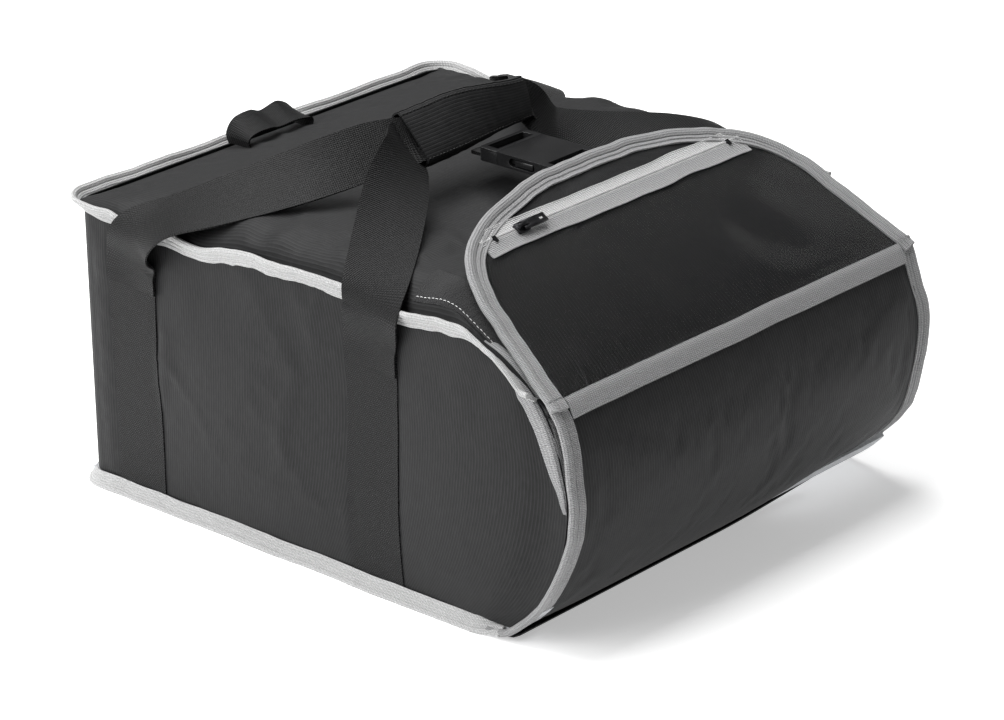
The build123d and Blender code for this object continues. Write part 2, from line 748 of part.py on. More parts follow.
cavity_half = buckle_half - buckle_wall
cavity_depth = window_start + window_length + 3
cavity_low = buckle_low + buckle_wall
cavity_high = buckle_high - buckle_wall
window_y = socket_mouth_y - window_start - window_length / 2
middle_z = (buckle_low + buckle_high) / 2
window_origin = (buckle_x - buckle_width, window_y, middle_z)
window_plane = Plane(origin=window_origin, x_dir=(0, 1, 0), z_dir=(1, 0, 0))
bar_slot_y = (socket_front_y + 3.0, socket_front_y + 3.0 + 5.0)
front_bar = (buckle_low + 2.3, buckle_high - 2.3)
with BuildPart() as buckle_socket:
    add(block(buckle_ends, (socket_front_y, socket_mouth_y), (buckle_low, buckle_high)))
    fillet(buckle_socket.edges().filter_by(Axis.Z).group_by(Axis.Y)[0], corner)
    cavity_ends = (buckle_x - cavity_half, buckle_x + cavity_half)
    cavity = block(
        cavity_ends, (socket_mouth_y - cavity_depth, socket_mouth_y + 1), (cavity_low, cavity_high)
    )
    add(cavity, mode=Mode.SUBTRACT)
    add(block(slot_ends, bar_slot_y, (buckle_low - 1, buckle_high + 1)), mode=Mode.SUBTRACT)
    for cut in ((buckle_low - 1, front_bar[0]), (front_bar[1], buckle_high + 1)):
        add(block(slot_ends, (socket_front_y - 1, bar_slot_y[0] + 1), cut), mode=Mode.SUBTRACT)
    with BuildSketch(window_plane):
        SlotOverall(window_length, window_height)
    extrude(amount=2 * buckle_width, mode=Mode.SUBTRACT)
save(buckle_socket, "buckle_socket")

prong_low = cavity_low + prong_clearance
prong_high = cavity_high - prong_clearance
shoulder_y = (window_y - window_length / 2 + 2, window_y + window_length / 2 - 5)
for side, name in ((-1, "left"), (1, "right")):
    arm_x = sorted((
        buckle_x + side * (cavity_half - buckle_clearance),
        buckle_x + side * (cavity_half - buckle_clearance - prong_width),
    ))
    shoulder_x = sorted((
        buckle_x + side * (buckle_half - 0.5),
        buckle_x + side * (cavity_half - buckle_clearance - prong_width),
    ))
    arm_y = (shoulder_y[0], joint_y - buckle_clearance)
    with BuildPart() as prong:
        add(block(arm_x, arm_y, (prong_low, prong_high)))
        add(block(shoulder_x, shoulder_y, (prong_low, prong_high)))
    save(prong, f"buckle_prong_{name}")

# webbing looped round the socket's front bar and sewn to the underside of the lap
loop_in_y = (socket_front_y - buckle_clearance, bar_slot_y[0] + buckle_clearance)
loop_in_z = (front_bar[0] - buckle_clearance, front_bar[1] + buckle_clearance)
loop_out_y = (loop_in_y[0] - webbing, loop_in_y[1] + webbing)
loop_out_z = (loop_in_z[0] - webbing, loop_in_z[1] + webbing)
strap_depths = (hook_start, hook_start + webbing)
bridge_z = slope_z(lap_edge[0], strap_depths[1])
with BuildPart() as socket_webbing:
    add(block(tab_ends, loop_out_y, loop_out_z))
    add(block(buckle_ends, loop_in_y, loop_in_z), mode=Mode.SUBTRACT)
    add(block(tab_ends, (lap_edge[0] + 1, loop_in_y[0]), (bridge_z, bridge_z + webbing)))
    add(lap_slab(tab_ends, (lap_run - 60, lap_run - 2), strap_depths))
save(socket_webbing, "socket_webbing")
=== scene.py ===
import json
import math
import bmesh
import bpy
import numpy as np
from mathutils import Matrix, Vector, noise


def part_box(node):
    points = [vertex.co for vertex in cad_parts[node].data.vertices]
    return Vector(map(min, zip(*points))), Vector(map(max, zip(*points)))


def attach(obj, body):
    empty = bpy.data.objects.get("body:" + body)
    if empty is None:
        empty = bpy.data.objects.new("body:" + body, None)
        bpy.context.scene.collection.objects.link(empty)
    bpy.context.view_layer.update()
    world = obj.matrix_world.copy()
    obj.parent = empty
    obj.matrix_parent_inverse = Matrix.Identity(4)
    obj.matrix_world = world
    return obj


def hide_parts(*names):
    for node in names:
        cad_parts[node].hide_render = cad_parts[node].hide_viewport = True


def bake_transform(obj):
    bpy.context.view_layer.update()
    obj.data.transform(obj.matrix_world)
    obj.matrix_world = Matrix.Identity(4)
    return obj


# Insulated food carrier, in metres. +X right, +Y back, +Z up. Every soft piece is a grid of
# points worked out from the frame's boxes and joints and the sizes below, then given its
# thickness. The walls, the top and the lower flap are also run as cloth.

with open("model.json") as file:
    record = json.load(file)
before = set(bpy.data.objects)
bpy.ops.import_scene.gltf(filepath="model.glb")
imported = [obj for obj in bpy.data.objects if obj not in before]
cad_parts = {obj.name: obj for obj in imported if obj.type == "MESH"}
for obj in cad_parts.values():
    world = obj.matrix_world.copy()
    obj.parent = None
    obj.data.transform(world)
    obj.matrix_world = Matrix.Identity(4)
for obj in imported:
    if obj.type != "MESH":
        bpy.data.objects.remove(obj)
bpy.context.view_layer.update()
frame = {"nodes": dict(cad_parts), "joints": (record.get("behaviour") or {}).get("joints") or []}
joints = {joint["name"]: joint for joint in frame["joints"]}

# ---- sizes from the frame
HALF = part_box("wall_outer")[1].x              # outside of the left and right walls
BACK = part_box("wall_outer")[1].y              # outside of the back wall
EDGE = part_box("wall_outer")[1].z              # top edge of the walls
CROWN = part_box("top_outer")[1].z              # highest line of the padded top
SILL_Y, SILL_Z = joints["flap_open"]["pos_m"][1:]
FOLD_Y, FOLD_Z = joints["flap_fold"]["pos_m"][1:]
STRAP_FRONT = sum(corner.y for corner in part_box("side_strap_front_left")) / 2
STRAP_BACK = sum(corner.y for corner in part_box("side_strap_back_left")) / 2
STRAP_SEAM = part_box("handle_leg_front_left")[0].z

# ---- sizes of the soft goods
CLOTH = 0.0011
WEBBING = 0.0016
WEBBING_WIDTH = 0.050
TAPE_WIDTH = 0.012
SEAM_HEIGHT = 0.010           # the bottom seam stands this far off the ground
FOOT_Y = -0.184               # the rounded front meets the ground here
FRONT_BULGE = 0.041
CARCASS_INSET = 0.0125        # the side panels stand this far behind the flap
LAP_ANGLE = math.radians(31.35)
LAP_RUN = 0.1768
ZIP_RUN = 0.141
CORNER = 0.016                # radius of the upright back corners
DOME_START_Y = 0.020
DOME_EDGE = 0.022
FOIL = 0.0008
FILM = 0.0004
YARN = 0.0013                 # spacing of the weave and of the tapes' ribs
ZIP_PITCH = 0.0016
CLOTH_FRAMES = 20
FOOT_LIFT = 0.007             # the right end of the foot stands this far off the ground
SIDES = ((-1, "left"), (1, "right"))


chord = math.dist((FOOT_Y, 0), (FOLD_Y, FOLD_Z))
FRONT_RADIUS = (chord**2 / 4 + FRONT_BULGE**2) / (2 * FRONT_BULGE)
arc_inward = (FOLD_Z / chord, -(FOLD_Y - FOOT_Y) / chord)
arc_depth = FRONT_RADIUS - FRONT_BULGE
ARC_Y = (FOOT_Y + FOLD_Y) / 2 + arc_depth * arc_inward[0]
ARC_Z = FOLD_Z / 2 + arc_depth * arc_inward[1]


# ---- small maths
def smooth(value, low=0.0, high=1.0):
    """0 below low, 1 above high, and a smooth step between."""
    t = np.clip((np.asarray(value, float) - low) / (high - low), 0, 1)
    return t * t * (3 - 2 * t)


def hump(value, centre, spread):
    """A smooth bump of height 1 at centre."""
    return np.exp(-(((np.asarray(value, float) - centre) / spread) ** 2))


def unit(vectors):
    """Vectors with length 1."""
    vectors = np.asarray(vectors, float)
    return vectors / np.maximum(np.linalg.norm(vectors, axis=-1, keepdims=True), 1e-12)


def rough(points, size, seed):
    """Smooth noise from -1 to 1 at each point, with features about size across."""
    points = np.asarray(points, float)
    offset = Vector((seed * 7.31, seed * 3.17, seed * 5.53))
    flat = [noise.noise(Vector(p) / size + offset) for p in points.reshape(-1, 3)]
    return np.array(flat).reshape(points.shape[:-1])


def rough_on(first, second, size, seed):
    """The same noise on a flat sheet, at places (first, second)."""
    return rough(np.stack((first, second, first * 0), -1), size, seed)


def spline(points, count):
    """Evenly spaced points on a smooth curve through the given ones."""
    points = np.asarray(points, float)
    ends = (2 * points[0] - points[1], 2 * points[-1] - points[-2])
    knots = np.vstack((ends[0], points, ends[1]))
    dense = []
    for a, b, c, d in zip(knots, knots[1:], knots[2:], knots[3:]):
        t = np.linspace(0, 1, 24, endpoint=False)[:, None]
        dense.append(
            0.5 * (2 * b + (c - a) * t + (2 * a - 5 * b + 4 * c - d) * t**2
                   + (3 * b - a - 3 * c + d) * t**3)
        )
    dense = np.vstack(dense + [points[-1:]])
    return resample(dense, count)


def run_of(points):
    """Distance along a line to each of its points."""
    steps = np.linalg.norm(np.diff(points, axis=0), axis=1)
    return np.concatenate(([0.0], np.cumsum(steps)))


def resample(points, count):
    """The same line with its points evenly spaced."""
    run = run_of(points)
    places = np.linspace(0, run[-1], count)
    return np.stack([np.interp(places, run, column) for column in points.T], axis=-1)


def nearby(places, values, points, count):
    """Values at the given points: a weighted mean of the count nearest places."""
    found = []
    for point in points:
        away = ((places - point) ** 2).sum(axis=1)
        near = np.argpartition(away, count)[:count]
        weight = 1 / (away[near] + 1e-7)
        found.append((values[near] * weight).sum() / weight.sum())
    return np.array(found)


def normals_of(grid):
    """Unit normals of a grid of points."""
    across = np.gradient(grid, axis=1)
    down = np.gradient(grid, axis=0)
    return unit(np.cross(across, down))


# ---- mesh making
def lengths(grid, axis):
    """Distance from the grid's start along one axis, as cut cloth would measure it."""
    steps = np.linalg.norm(np.diff(grid, axis=axis), axis=2).mean(axis=1 - axis)
    return np.concatenate(([0.0], np.cumsum(steps)))


def quads(index):
    """Four corners of every cell of a grid."""
    corners = (index[:-1, :-1], index[:-1, 1:], index[1:, 1:], index[1:, :-1])
    cells = np.stack(corners, axis=2)
    return cells.reshape((-1, 4) + index.shape[2:])


def link(name, data):
    """A new object in the scene."""
    made = bpy.data.objects.new(name, data)
    bpy.context.scene.collection.objects.link(made)
    return made


def evaluated(piece):
    """The piece with its modifiers applied."""
    return piece.evaluated_get(bpy.context.evaluated_depsgraph_get())


def smooth_shade(mesh, degrees):
    """Smooth shading, but sharp where the surface turns by more than an angle."""
    mesh.polygons.foreach_set("use_smooth", [True] * len(mesh.polygons))
    mesh.set_sharp_from_angle(angle=math.radians(degrees))


def make_piece(name, points, faces, face_uvs, material):
    """A mesh object whose UV map, named cloth, is in metres."""
    mesh = bpy.data.meshes.new(name)
    mesh.from_pydata(np.asarray(points, float).reshape(-1, 3).tolist(), [], faces)
    layer = mesh.uv_layers.new(name="cloth")
    layer.data.foreach_set("uv", np.concatenate([np.ravel(uv) for uv in face_uvs]))
    work = bmesh.new()
    work.from_mesh(mesh)
    bmesh.ops.recalc_face_normals(work, faces=work.faces)
    work.to_mesh(mesh)
    work.free()
    smooth_shade(mesh, 55)
    mesh.materials.append(material)
    return link(name, mesh)


def slab(name, front, back, material):
    """A closed piece between two grids of the same shape."""
    rows, columns = front.shape[:2]
    total = rows * columns
    number = np.arange(total).reshape(rows, columns)
    u, v = np.meshgrid(lengths(front, 1), lengths(front, 0))
    uv = np.stack((u, v), axis=2)
    cells, cell_uvs = quads(number), quads(uv)
    ring = np.concatenate((number[0, :-1], number[:-1, -1], number[-1, :0:-1], number[:0:-1, 0]))
    after = np.roll(ring, -1)
    rim = np.stack((ring, after, after + total, ring + total), axis=1)
    flat_uv = np.vstack((uv.reshape(-1, 2), uv.reshape(-1, 2)))
    faces = np.vstack((cells, cells[:, ::-1] + total, rim))
    face_uvs = np.concatenate((cell_uvs, cell_uvs[:, ::-1], flat_uv[rim]))
    points = np.vstack((front.reshape(-1, 3), back.reshape(-1, 3)))
    return make_piece(name, points, faces.tolist(), [face_uvs], material)


def cloth(name, grid, material, thickness=CLOTH):
    """A closed sheet whose outside is the grid; its back lies thickness below."""
    return slab(name, grid, grid - normals_of(grid) * thickness, material)


def tube(name, rings, material):
    """A closed skin along rows of rings, capped at both ends."""
    rows, columns = rings.shape[:2]
    wrapped = np.concatenate((rings, rings[:, :1]), axis=1)
    number = np.arange(rows * columns).reshape(rows, columns)
    number = np.concatenate((number, number[:, :1]), axis=1)
    u, v = np.meshgrid(lengths(wrapped, 1), lengths(wrapped, 0))
    uv = np.stack((u, v), axis=2)
    faces = quads(number).tolist() + [number[0, :-1].tolist(), number[-1, :-1].tolist()]
    face_uvs = [quads(uv), uv[0, :-1], uv[-1, :-1]]
    return make_piece(name, rings, faces, face_uvs, material)


def sweep(name, path, outs, faces, profile, material, wave=0.0004, sway=0.0, scale=1.0):
    """A profile of (out, face) offsets carried along a path, with a hand-sewn waviness."""
    wobble = rough(path, 0.021, len(name)) * wave + rough(path, 0.055, len(name) + 1) * sway
    lift = rough(path, 0.013, len(name) + 3) * wave + rough(path, 0.048, len(name) + 5) * sway * 0.2
    origin = path + outs * wobble[:, None] + faces * lift[:, None]
    rings = (
        origin[:, None]
        + (outs * np.reshape(scale, (-1, 1)))[:, None] * profile[None, :, 0, None]
        + faces[:, None] * profile[None, :, 1, None]
    )
    return tube(name, rings, material)


def folded_profile(width, thickness, grooves=(0.32, 0.68), bead=0.35):
    """Section of a folded binding tape: a beaded fold at the top and stitch grooves along it."""
    steps = np.linspace(0, 1, 15)
    half = thickness / 2 * (1 + bead * hump(steps, 0.9, 0.16))
    for groove in grooves:
        half = half - 0.28 * thickness * hump(steps, groove, 0.05)
    side = np.stack((steps * width, half), axis=1)
    turn = np.linspace(math.pi / 2, -math.pi / 2, 7)[1:-1]
    cap = np.stack((width + half[-1] * np.cos(turn), half[-1] * np.sin(turn)), axis=1)
    return np.vstack((side, cap, side[::-1] * (1, -1)))


def settle(grid, sewn, pressure, growth, cap):
    """The grid as cloth: held where it is sewn, a little full, and blown out
    between."""
    rows, columns = grid.shape[:2]
    number = np.arange(rows * columns).reshape(rows, columns)
    mesh = bpy.data.meshes.new("cloth_run")
    mesh.from_pydata(grid.reshape(-1, 3).tolist(), [], quads(number).tolist())
    piece = link("cloth_run", mesh)
    group = piece.vertex_groups.new(name="sewn")
    group.add(np.flatnonzero(sewn.ravel()).tolist(), 1.0, "REPLACE")
    settings = piece.modifiers.new("cloth", "CLOTH").settings
    settings.quality = 5
    settings.mass = 0.15
    settings.tension_stiffness = 20
    settings.compression_stiffness = 20
    settings.shear_stiffness = 8
    settings.bending_stiffness = 0.8
    settings.vertex_group_mass = group.name
    settings.use_pressure = True
    settings.uniform_pressure_force = pressure
    settings.shrink_min = -growth
    settings.effector_weights.gravity = 0
    scene = bpy.context.scene
    for step in range(1, CLOTH_FRAMES + 1):
        scene.frame_set(step)
    shape = evaluated(piece).data
    moved = np.zeros(len(shape.vertices) * 3)
    shape.vertices.foreach_get("co", moved)
    move = moved.reshape(grid.shape) - grid
    facing = normals_of(grid)
    centre = grid.reshape(-1, 3).mean(axis=0)
    facing = facing * np.sign(((grid - centre) * facing).sum())
    inward = np.minimum((move * facing).sum(axis=2, keepdims=True), 0)
    move = move - facing * inward * 0.9
    size = np.linalg.norm(move, axis=2, keepdims=True)
    bpy.data.objects.remove(piece)
    scene.frame_set(1)
    return grid + move * np.minimum(1, cap / np.maximum(size, 1e-9))


def stitches(name, path, normals, material, length=0.0026, gap=0.0012, thick=0.0005):
    """A row of thread stitches along a path, each a small raised bead."""
    run = run_of(path)
    starts = np.arange(gap, run[-1] - length, length + gap)
    points, faces, face_uvs = [], [], []
    turns = np.arange(6) * math.pi / 3
    for start in starts:
        ends = [
            np.array([np.interp(start + part * length, run, path[:, axis]) for axis in range(3)])
            for part in (0.0, 0.5, 1.0)
        ]
        place = np.searchsorted(run, start)
        up = unit(normals[min(place, len(normals) - 1)])
        along = unit(ends[2] - ends[0])
        aside = np.cross(along, up)
        base = len(points)
        for centre, size, rise in zip(ends, (0.5, 1.0, 0.5), (0.0, 0.7, 0.0)):
            ring = centre + up * thick * rise + (
                np.cos(turns)[:, None] * aside + np.sin(turns)[:, None] * up
            ) * thick * size
            points.extend(ring)
        for ring in range(2):
            for side in range(6):
                low = base + ring * 6
                faces.append((low + side, low + (side + 1) % 6, low + 6 + (side + 1) % 6, low + 6 + side))
        faces.append(tuple(base + side for side in range(6)))
        faces.append(tuple(base + 12 + side for side in range(6)))
        face_uvs.append(np.zeros((12 * 4 + 12, 2)))
    return make_piece(name, points, faces, face_uvs, material)


# ---- materials
class Surface:
    """A Principled material and the few node chains that the finishes here share."""

    def __init__(self, name, colour, roughness, **plain):
        self.made = bpy.data.materials.new(name)
        self.made.use_nodes = True
        self.tree = self.made.node_tree
        self.shader = self.tree.nodes["Principled BSDF"]
        self.colour = colour
        self.shader.inputs["Base Color"].default_value = (*colour, 1)
        self.shader.inputs["Roughness"].default_value = roughness
        for socket, value in plain.items():
            self.shader.inputs[socket.replace("_", " ")].default_value = value
        self.height = None

    def node(self, kind, **inputs):
        made = self.tree.nodes.new(kind)
        for key, value in inputs.items():
            self.feed(made.inputs[key.replace("_", " ")], value)
        return made

    def feed(self, socket, value):
        if isinstance(value, bpy.types.NodeSocket):
            self.tree.links.new(value, socket)
        else:
            socket.default_value = value

    def maths(self, operation, first, second=0.0):
        made = self.tree.nodes.new("ShaderNodeMath")
        made.operation = operation
        self.feed(made.inputs[0], first)
        self.feed(made.inputs[1], second)
        return made.outputs[0]

    def place(self, mapped=True):
        """Coordinates in metres: the cloth map, or the object's own for a moulding."""
        if mapped:
            made = self.tree.nodes.new("ShaderNodeUVMap")
            made.uv_map = "cloth"
            return made.outputs["UV"]
        return self.tree.nodes.new("ShaderNodeTexCoord").outputs["Object"]

    def split(self, place):
        return self.node("ShaderNodeSeparateXYZ", Vector=place).outputs

    def wave(self, value, pitch):
        """0 to 1 ridges, pitch metres apart."""
        turned = self.maths("MULTIPLY", value, 2 * math.pi / pitch)
        return self.maths("MULTIPLY", self.maths("ADD", self.maths("SINE", turned), 1.0), 0.5)

    def grain(self, place, size, detail=3.0, stretch=(1, 1, 1)):
        mapping = self.node("ShaderNodeMapping", Vector=place)
        mapping.inputs["Scale"].default_value = stretch
        made = self.node("ShaderNodeTexNoise", Vector=mapping.outputs[0])
        made.inputs["Scale"].default_value = 1 / size
        made.inputs["Detail"].default_value = detail
        return made.outputs["Fac"]

    def raise_by(self, value, depth):
        """Adds value times depth, in metres, to the surface's height."""
        part = self.maths("MULTIPLY", value, depth)
        self.height = part if self.height is None else self.maths("ADD", self.height, part)

    def tint(self, value, dark, light, low=0.3, high=0.7):
        """Colour runs from dark to light times its own as value runs from low to high."""
        ramp = self.node("ShaderNodeMapRange", Value=value)
        ramp.inputs["From Min"].default_value = low
        ramp.inputs["From Max"].default_value = high
        mix = self.tree.nodes.new("ShaderNodeMix")
        mix.data_type = "RGBA"
        self.feed(mix.inputs["Factor"], ramp.outputs["Result"])
        mix.inputs["A"].default_value = (*(c * dark for c in self.colour), 1)
        mix.inputs["B"].default_value = (*(c * light for c in self.colour), 1)
        self.feed(self.shader.inputs["Base Color"], mix.outputs["Result"])

    def finish(self, strength=1.0):
        if self.height is not None:
            bump = self.node("ShaderNodeBump", Height=self.height)
            bump.inputs["Strength"].default_value = strength
            bump.inputs["Distance"].default_value = 1.0
            self.feed(self.shader.inputs["Normal"], bump.outputs["Normal"])
        return self.made


def weave_material(name, colour):
    """Oxford weave: crossed threads, slightly ribbed, with slubs; its colour is painted lighter where the
    ribs and slubs stand up and darker between them (painted highlight and shade).
    """
    surface = Surface(name, colour, 0.62, Sheen_Weight=0.03, Sheen_Roughness=0.45,
                      Specular_IOR_Level=0.25)
    place = surface.place()
    axes = surface.split(place)
    warp = surface.wave(axes[0], YARN)
    weft = surface.wave(axes[1], 0.8 * YARN)
    crossed = surface.maths("MULTIPLY", warp, surface.maths("ADD", weft, 0.45))
    slub = surface.grain(place, 0.0022, 4.0, (1, 0.25, 1))
    ribs = surface.wave(axes[0], 0.0026)
    surface.raise_by(crossed, 0.00008)
    surface.raise_by(ribs, 0.00010)
    surface.raise_by(slub, 0.00018)
    surface.raise_by(surface.grain(place, 0.03, 2.0), 0.0012)
    # painted highlight and shade: the colour follows the raised ribs and slubs, lighter on them and
    # darker between
    painted_relief_shade = surface.maths("ADD", surface.maths("MULTIPLY", ribs, 0.45),
                          surface.maths("MULTIPLY", slub, 0.6))
    surface.tint(painted_relief_shade, 0.4, 2.3, 0.15, 0.95)
    return surface.finish(0.9)


def webbing_material(name, colour):
    """Herringbone polypropylene webbing: strong ribs along it and fine ones across."""
    surface = Surface(name, colour, 0.5, Sheen_Weight=0.03, Sheen_Roughness=0.4,
                      Specular_IOR_Level=0.24)
    place = surface.place()
    axes = surface.split(place)
    slant = surface.maths("ADD", axes[0], surface.maths("MULTIPLY", axes[1], 0.8))
    ribs = surface.wave(slant, 0.0019)
    picks = surface.wave(axes[1], 0.0016)
    woven = surface.maths("MULTIPLY", ribs, surface.maths("ADD", picks, 0.4))
    surface.raise_by(woven, 0.0004)
    surface.raise_by(surface.grain(place, 0.004, 3.0), 0.0004)
    # painted highlight and shade: the colour follows the woven ribs, lighter on them and darker in the
    # hollows between
    surface.tint(woven, 0.45, 1.6, 0.0, 1.1)
    return surface.finish(0.9)


def tape_material(name, colour):
    """Ribbed grosgrain binding tape: fine ribs across its length and loose fibres."""
    surface = Surface(name, colour, 0.72, Sheen_Weight=0.2, Sheen_Roughness=0.5,
                      Specular_IOR_Level=0.3)
    place = surface.place()
    axes = surface.split(place)
    uneven = surface.maths("MULTIPLY", surface.grain(place, 0.006, 2.0), 0.0012)
    ribs = surface.wave(surface.maths("ADD", axes[1], uneven), YARN)
    cords = surface.wave(axes[0], 0.0021)
    knit = surface.maths("MULTIPLY", surface.maths("ADD", ribs, 0.3),
                         surface.maths("ADD", cords, 0.7))
    fuzz = surface.grain(place, 0.0012, 4.0)
    surface.raise_by(knit, 0.00045)
    surface.raise_by(fuzz, 0.0005)
    # painted highlight and shade: the colour follows the raised ribs, cords and fibres, lighter on them
    # and darker between
    painted_relief_shade = surface.maths("ADD", surface.maths("MULTIPLY", knit, 0.35),
                          surface.maths("MULTIPLY", fuzz, 0.7))
    surface.tint(painted_relief_shade, 0.35, 1.2, 0.25, 0.95)
    return surface.finish(1.0)


def plastic_material(name, colour, roughness):
    """Moulded acetal: fine spark texture and a soft shine."""
    surface = Surface(name, colour, roughness, Specular_IOR_Level=0.5)
    place = surface.place(mapped=False)
    surface.raise_by(surface.grain(place, 0.0012, 3.0), 0.00012)
    surface.raise_by(surface.grain(place, 0.012, 2.0), 0.0003)
    surface.tint(surface.grain(place, 0.02, 3.0), 0.85, 1.2)
    return surface.finish(0.6)


def foil_material(name):
    """Aluminised lining film, creased and a little dull."""
    surface = Surface(name, (0.62, 0.63, 0.65), 0.3, Metallic=0.9)
    place = surface.place(mapped=False)
    creases = surface.grain(place, 0.035, 5.0)
    surface.raise_by(creases, 0.006)
    surface.raise_by(surface.grain(place, 0.009, 3.0), 0.0012)
    # painted shade: the colour is darker in the hollows of the creases and lighter on their ridges
    surface.tint(creases, 0.8, 1.1)
    return surface.finish(0.8)


def foam_material(name):
    """Closed-cell foam: matt and finely pitted."""
    surface = Surface(name, (0.55, 0.56, 0.58), 0.9)
    cells = surface.grain(surface.place(mapped=False), 0.0025, 4.0)
    surface.raise_by(cells, 0.0008)
    # painted shade: the pits of the cells are coloured darker than the foam between them
    surface.tint(cells, 0.8, 1.1)
    return surface.finish()


def hook_loop_material(name):
    """Hook and loop tape: a dense short pile that scatters light."""
    surface = Surface(name, (0.007, 0.007, 0.0075), 0.95, Sheen_Weight=0.08, Sheen_Roughness=0.6)
    place = surface.place()
    pile = surface.grain(place, 0.0011, 5.0)
    surface.raise_by(pile, 0.0016)
    # painted highlight and shade: the pile is coloured lighter where it stands up and darker between
    surface.tint(pile, 0.3, 2.6)
    return surface.finish()


def film_material(name):
    """Clear flexible vinyl: smooth and glossy."""
    surface = Surface(name, (0.9, 0.9, 0.9), 0.05, Transmission_Weight=1.0, IOR=1.10)
    surface.raise_by(surface.grain(surface.place(), 0.06, 1.0), 0.0012)
    return surface.finish(0.5)


def metal_material(name, colour, roughness):
    """Plated metal, a little worn."""
    surface = Surface(name, colour, roughness, Metallic=0.85)
    place = surface.place(mapped=False)
    worn = surface.grain(place, 0.004, 4.0)
    surface.raise_by(worn, 0.00015)
    surface.tint(worn, 0.7, 1.5)
    return surface.finish(0.6)


BLACK = (0.0095, 0.0096, 0.0100)
weave = weave_material("black_weave", BLACK)
webbing_black = webbing_material("black_webbing", (0.0070, 0.0071, 0.0074))
white_tape = tape_material("white_binding", (0.66, 0.66, 0.66))
grey_tape = tape_material("grey_binding", (0.38, 0.38, 0.385))
zip_cloth = tape_material("zip_tape", (0.46, 0.46, 0.465))
zip_ribbed = tape_material("zip_tape_ribbed", (0.72, 0.72, 0.72))
thread_white = plastic_material("white_thread", (0.75, 0.75, 0.75), 0.6)
thread_black = plastic_material("black_thread", (0.02, 0.02, 0.02), 0.5)
foil = foil_material("foil_lining")
foam = foam_material("insulation_foam")
pile = hook_loop_material("hook_loop_tape")
film = film_material("clear_film")
coil = plastic_material("zip_coil", (0.55, 0.55, 0.55), 0.35)
black_metal = metal_material("black_metal", (0.03, 0.03, 0.032), 0.28)
acetal = plastic_material("buckle_plastic", (0.012, 0.012, 0.0125), 0.2)


def own(piece, body, slot, *nodes):
    """Puts a finished piece on its body, in place of the CAD nodes it stands for."""
    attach(piece, body)
    if nodes:
        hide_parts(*nodes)


def bend(piece, bodies, start, end, slot, *nodes):
    """Bakes a piece's placement into its mesh, in place of the CAD nodes it stands for."""
    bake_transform(piece)
    if nodes:
        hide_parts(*nodes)


# ---- shapes of the box
def arc_point(inset, height):
    """(y, z) on the rounded front, inset from the flap's outside, at a height."""
    radius = FRONT_RADIUS - inset
    rise = height - ARC_Z
    return (ARC_Y - math.sqrt(radius**2 - rise**2), height)


def edge_height(y):
    """Height of the side panels' top seam: it dips where the straps pull on it."""
    y = np.asarray(y, float)
    lift = 0.0035 * hump(y, BACK, 0.03) + 0.003 * hump(y, -0.014, 0.04)
    dips = 0.006 * hump(y, STRAP_BACK - 0.01, 0.022) + 0.007 * hump(y, 0.118, 0.03)
    return EDGE - 0.001 + lift - dips - 0.004 * hump(y, -0.085, 0.03)


def slope_height(y, depth):
    """Height of the surface depth below the lap, at y."""
    return FOLD_Z + (np.asarray(y, float) - FOLD_Y) * math.tan(LAP_ANGLE) - depth / math.cos(LAP_ANGLE)


RIM_CORNER = ((-0.160, 0.2285), (-0.187, 0.2185), (-0.214, 0.1985), (-0.2305, 0.174))
arc_rim = [arc_point(inset, z) for inset, z in (
    (CARCASS_INSET, 0.150), (0.0095, 0.120), (0.0080, 0.085), (0.0060, 0.055), (0.004, 0.030),
    (0.003, 0.010))]
front_rim = spline(RIM_CORNER + tuple(arc_rim), 140)
corner_at = int(np.argmin(abs(front_rim[:, 1] - 0.200)))


def side_edges(rows, columns):
    """Boundary lines of a side panel, as (y, z): bottom, top, back and front."""
    run = np.linspace(0, 1, columns)[:, None]
    back_line = np.stack((np.full(rows, BACK - CORNER), np.linspace(SEAM_HEIGHT, EDGE, rows)), 1)
    back_line[:, 1] += (edge_height(BACK) - EDGE) * np.linspace(0, 1, rows)
    front_line = resample(front_rim[corner_at:], rows)[::-1]
    bottom = back_line[0] + (front_line[0] - back_line[0]) * run
    flat_y = np.linspace(BACK - CORNER, RIM_CORNER[0][0], 90)
    flat = np.stack((flat_y, edge_height(flat_y)), axis=1)
    top = resample(np.vstack((flat, front_rim[2:corner_at + 1])), columns)
    return bottom, top, back_line, front_line


def coons(bottom, top, first, last):
    """A patch between four boundary lines, rows from bottom to top."""
    s = np.linspace(0, 1, len(bottom))[None, :, None]
    t = np.linspace(0, 1, len(first))[:, None, None]
    rails = (1 - t) * bottom[None] + t * top[None]
    sides = (1 - s) * first[:, None] + s * last[:, None]
    corners = (
        (1 - s) * (1 - t) * bottom[0] + s * (1 - t) * bottom[-1]
        + (1 - s) * t * top[0] + s * t * top[-1]
    )
    return rails + sides - corners


SIDE_ROWS, SIDE_COLUMNS, BACK_COLUMNS, TURN_COLUMNS = 64, 116, 96, 6


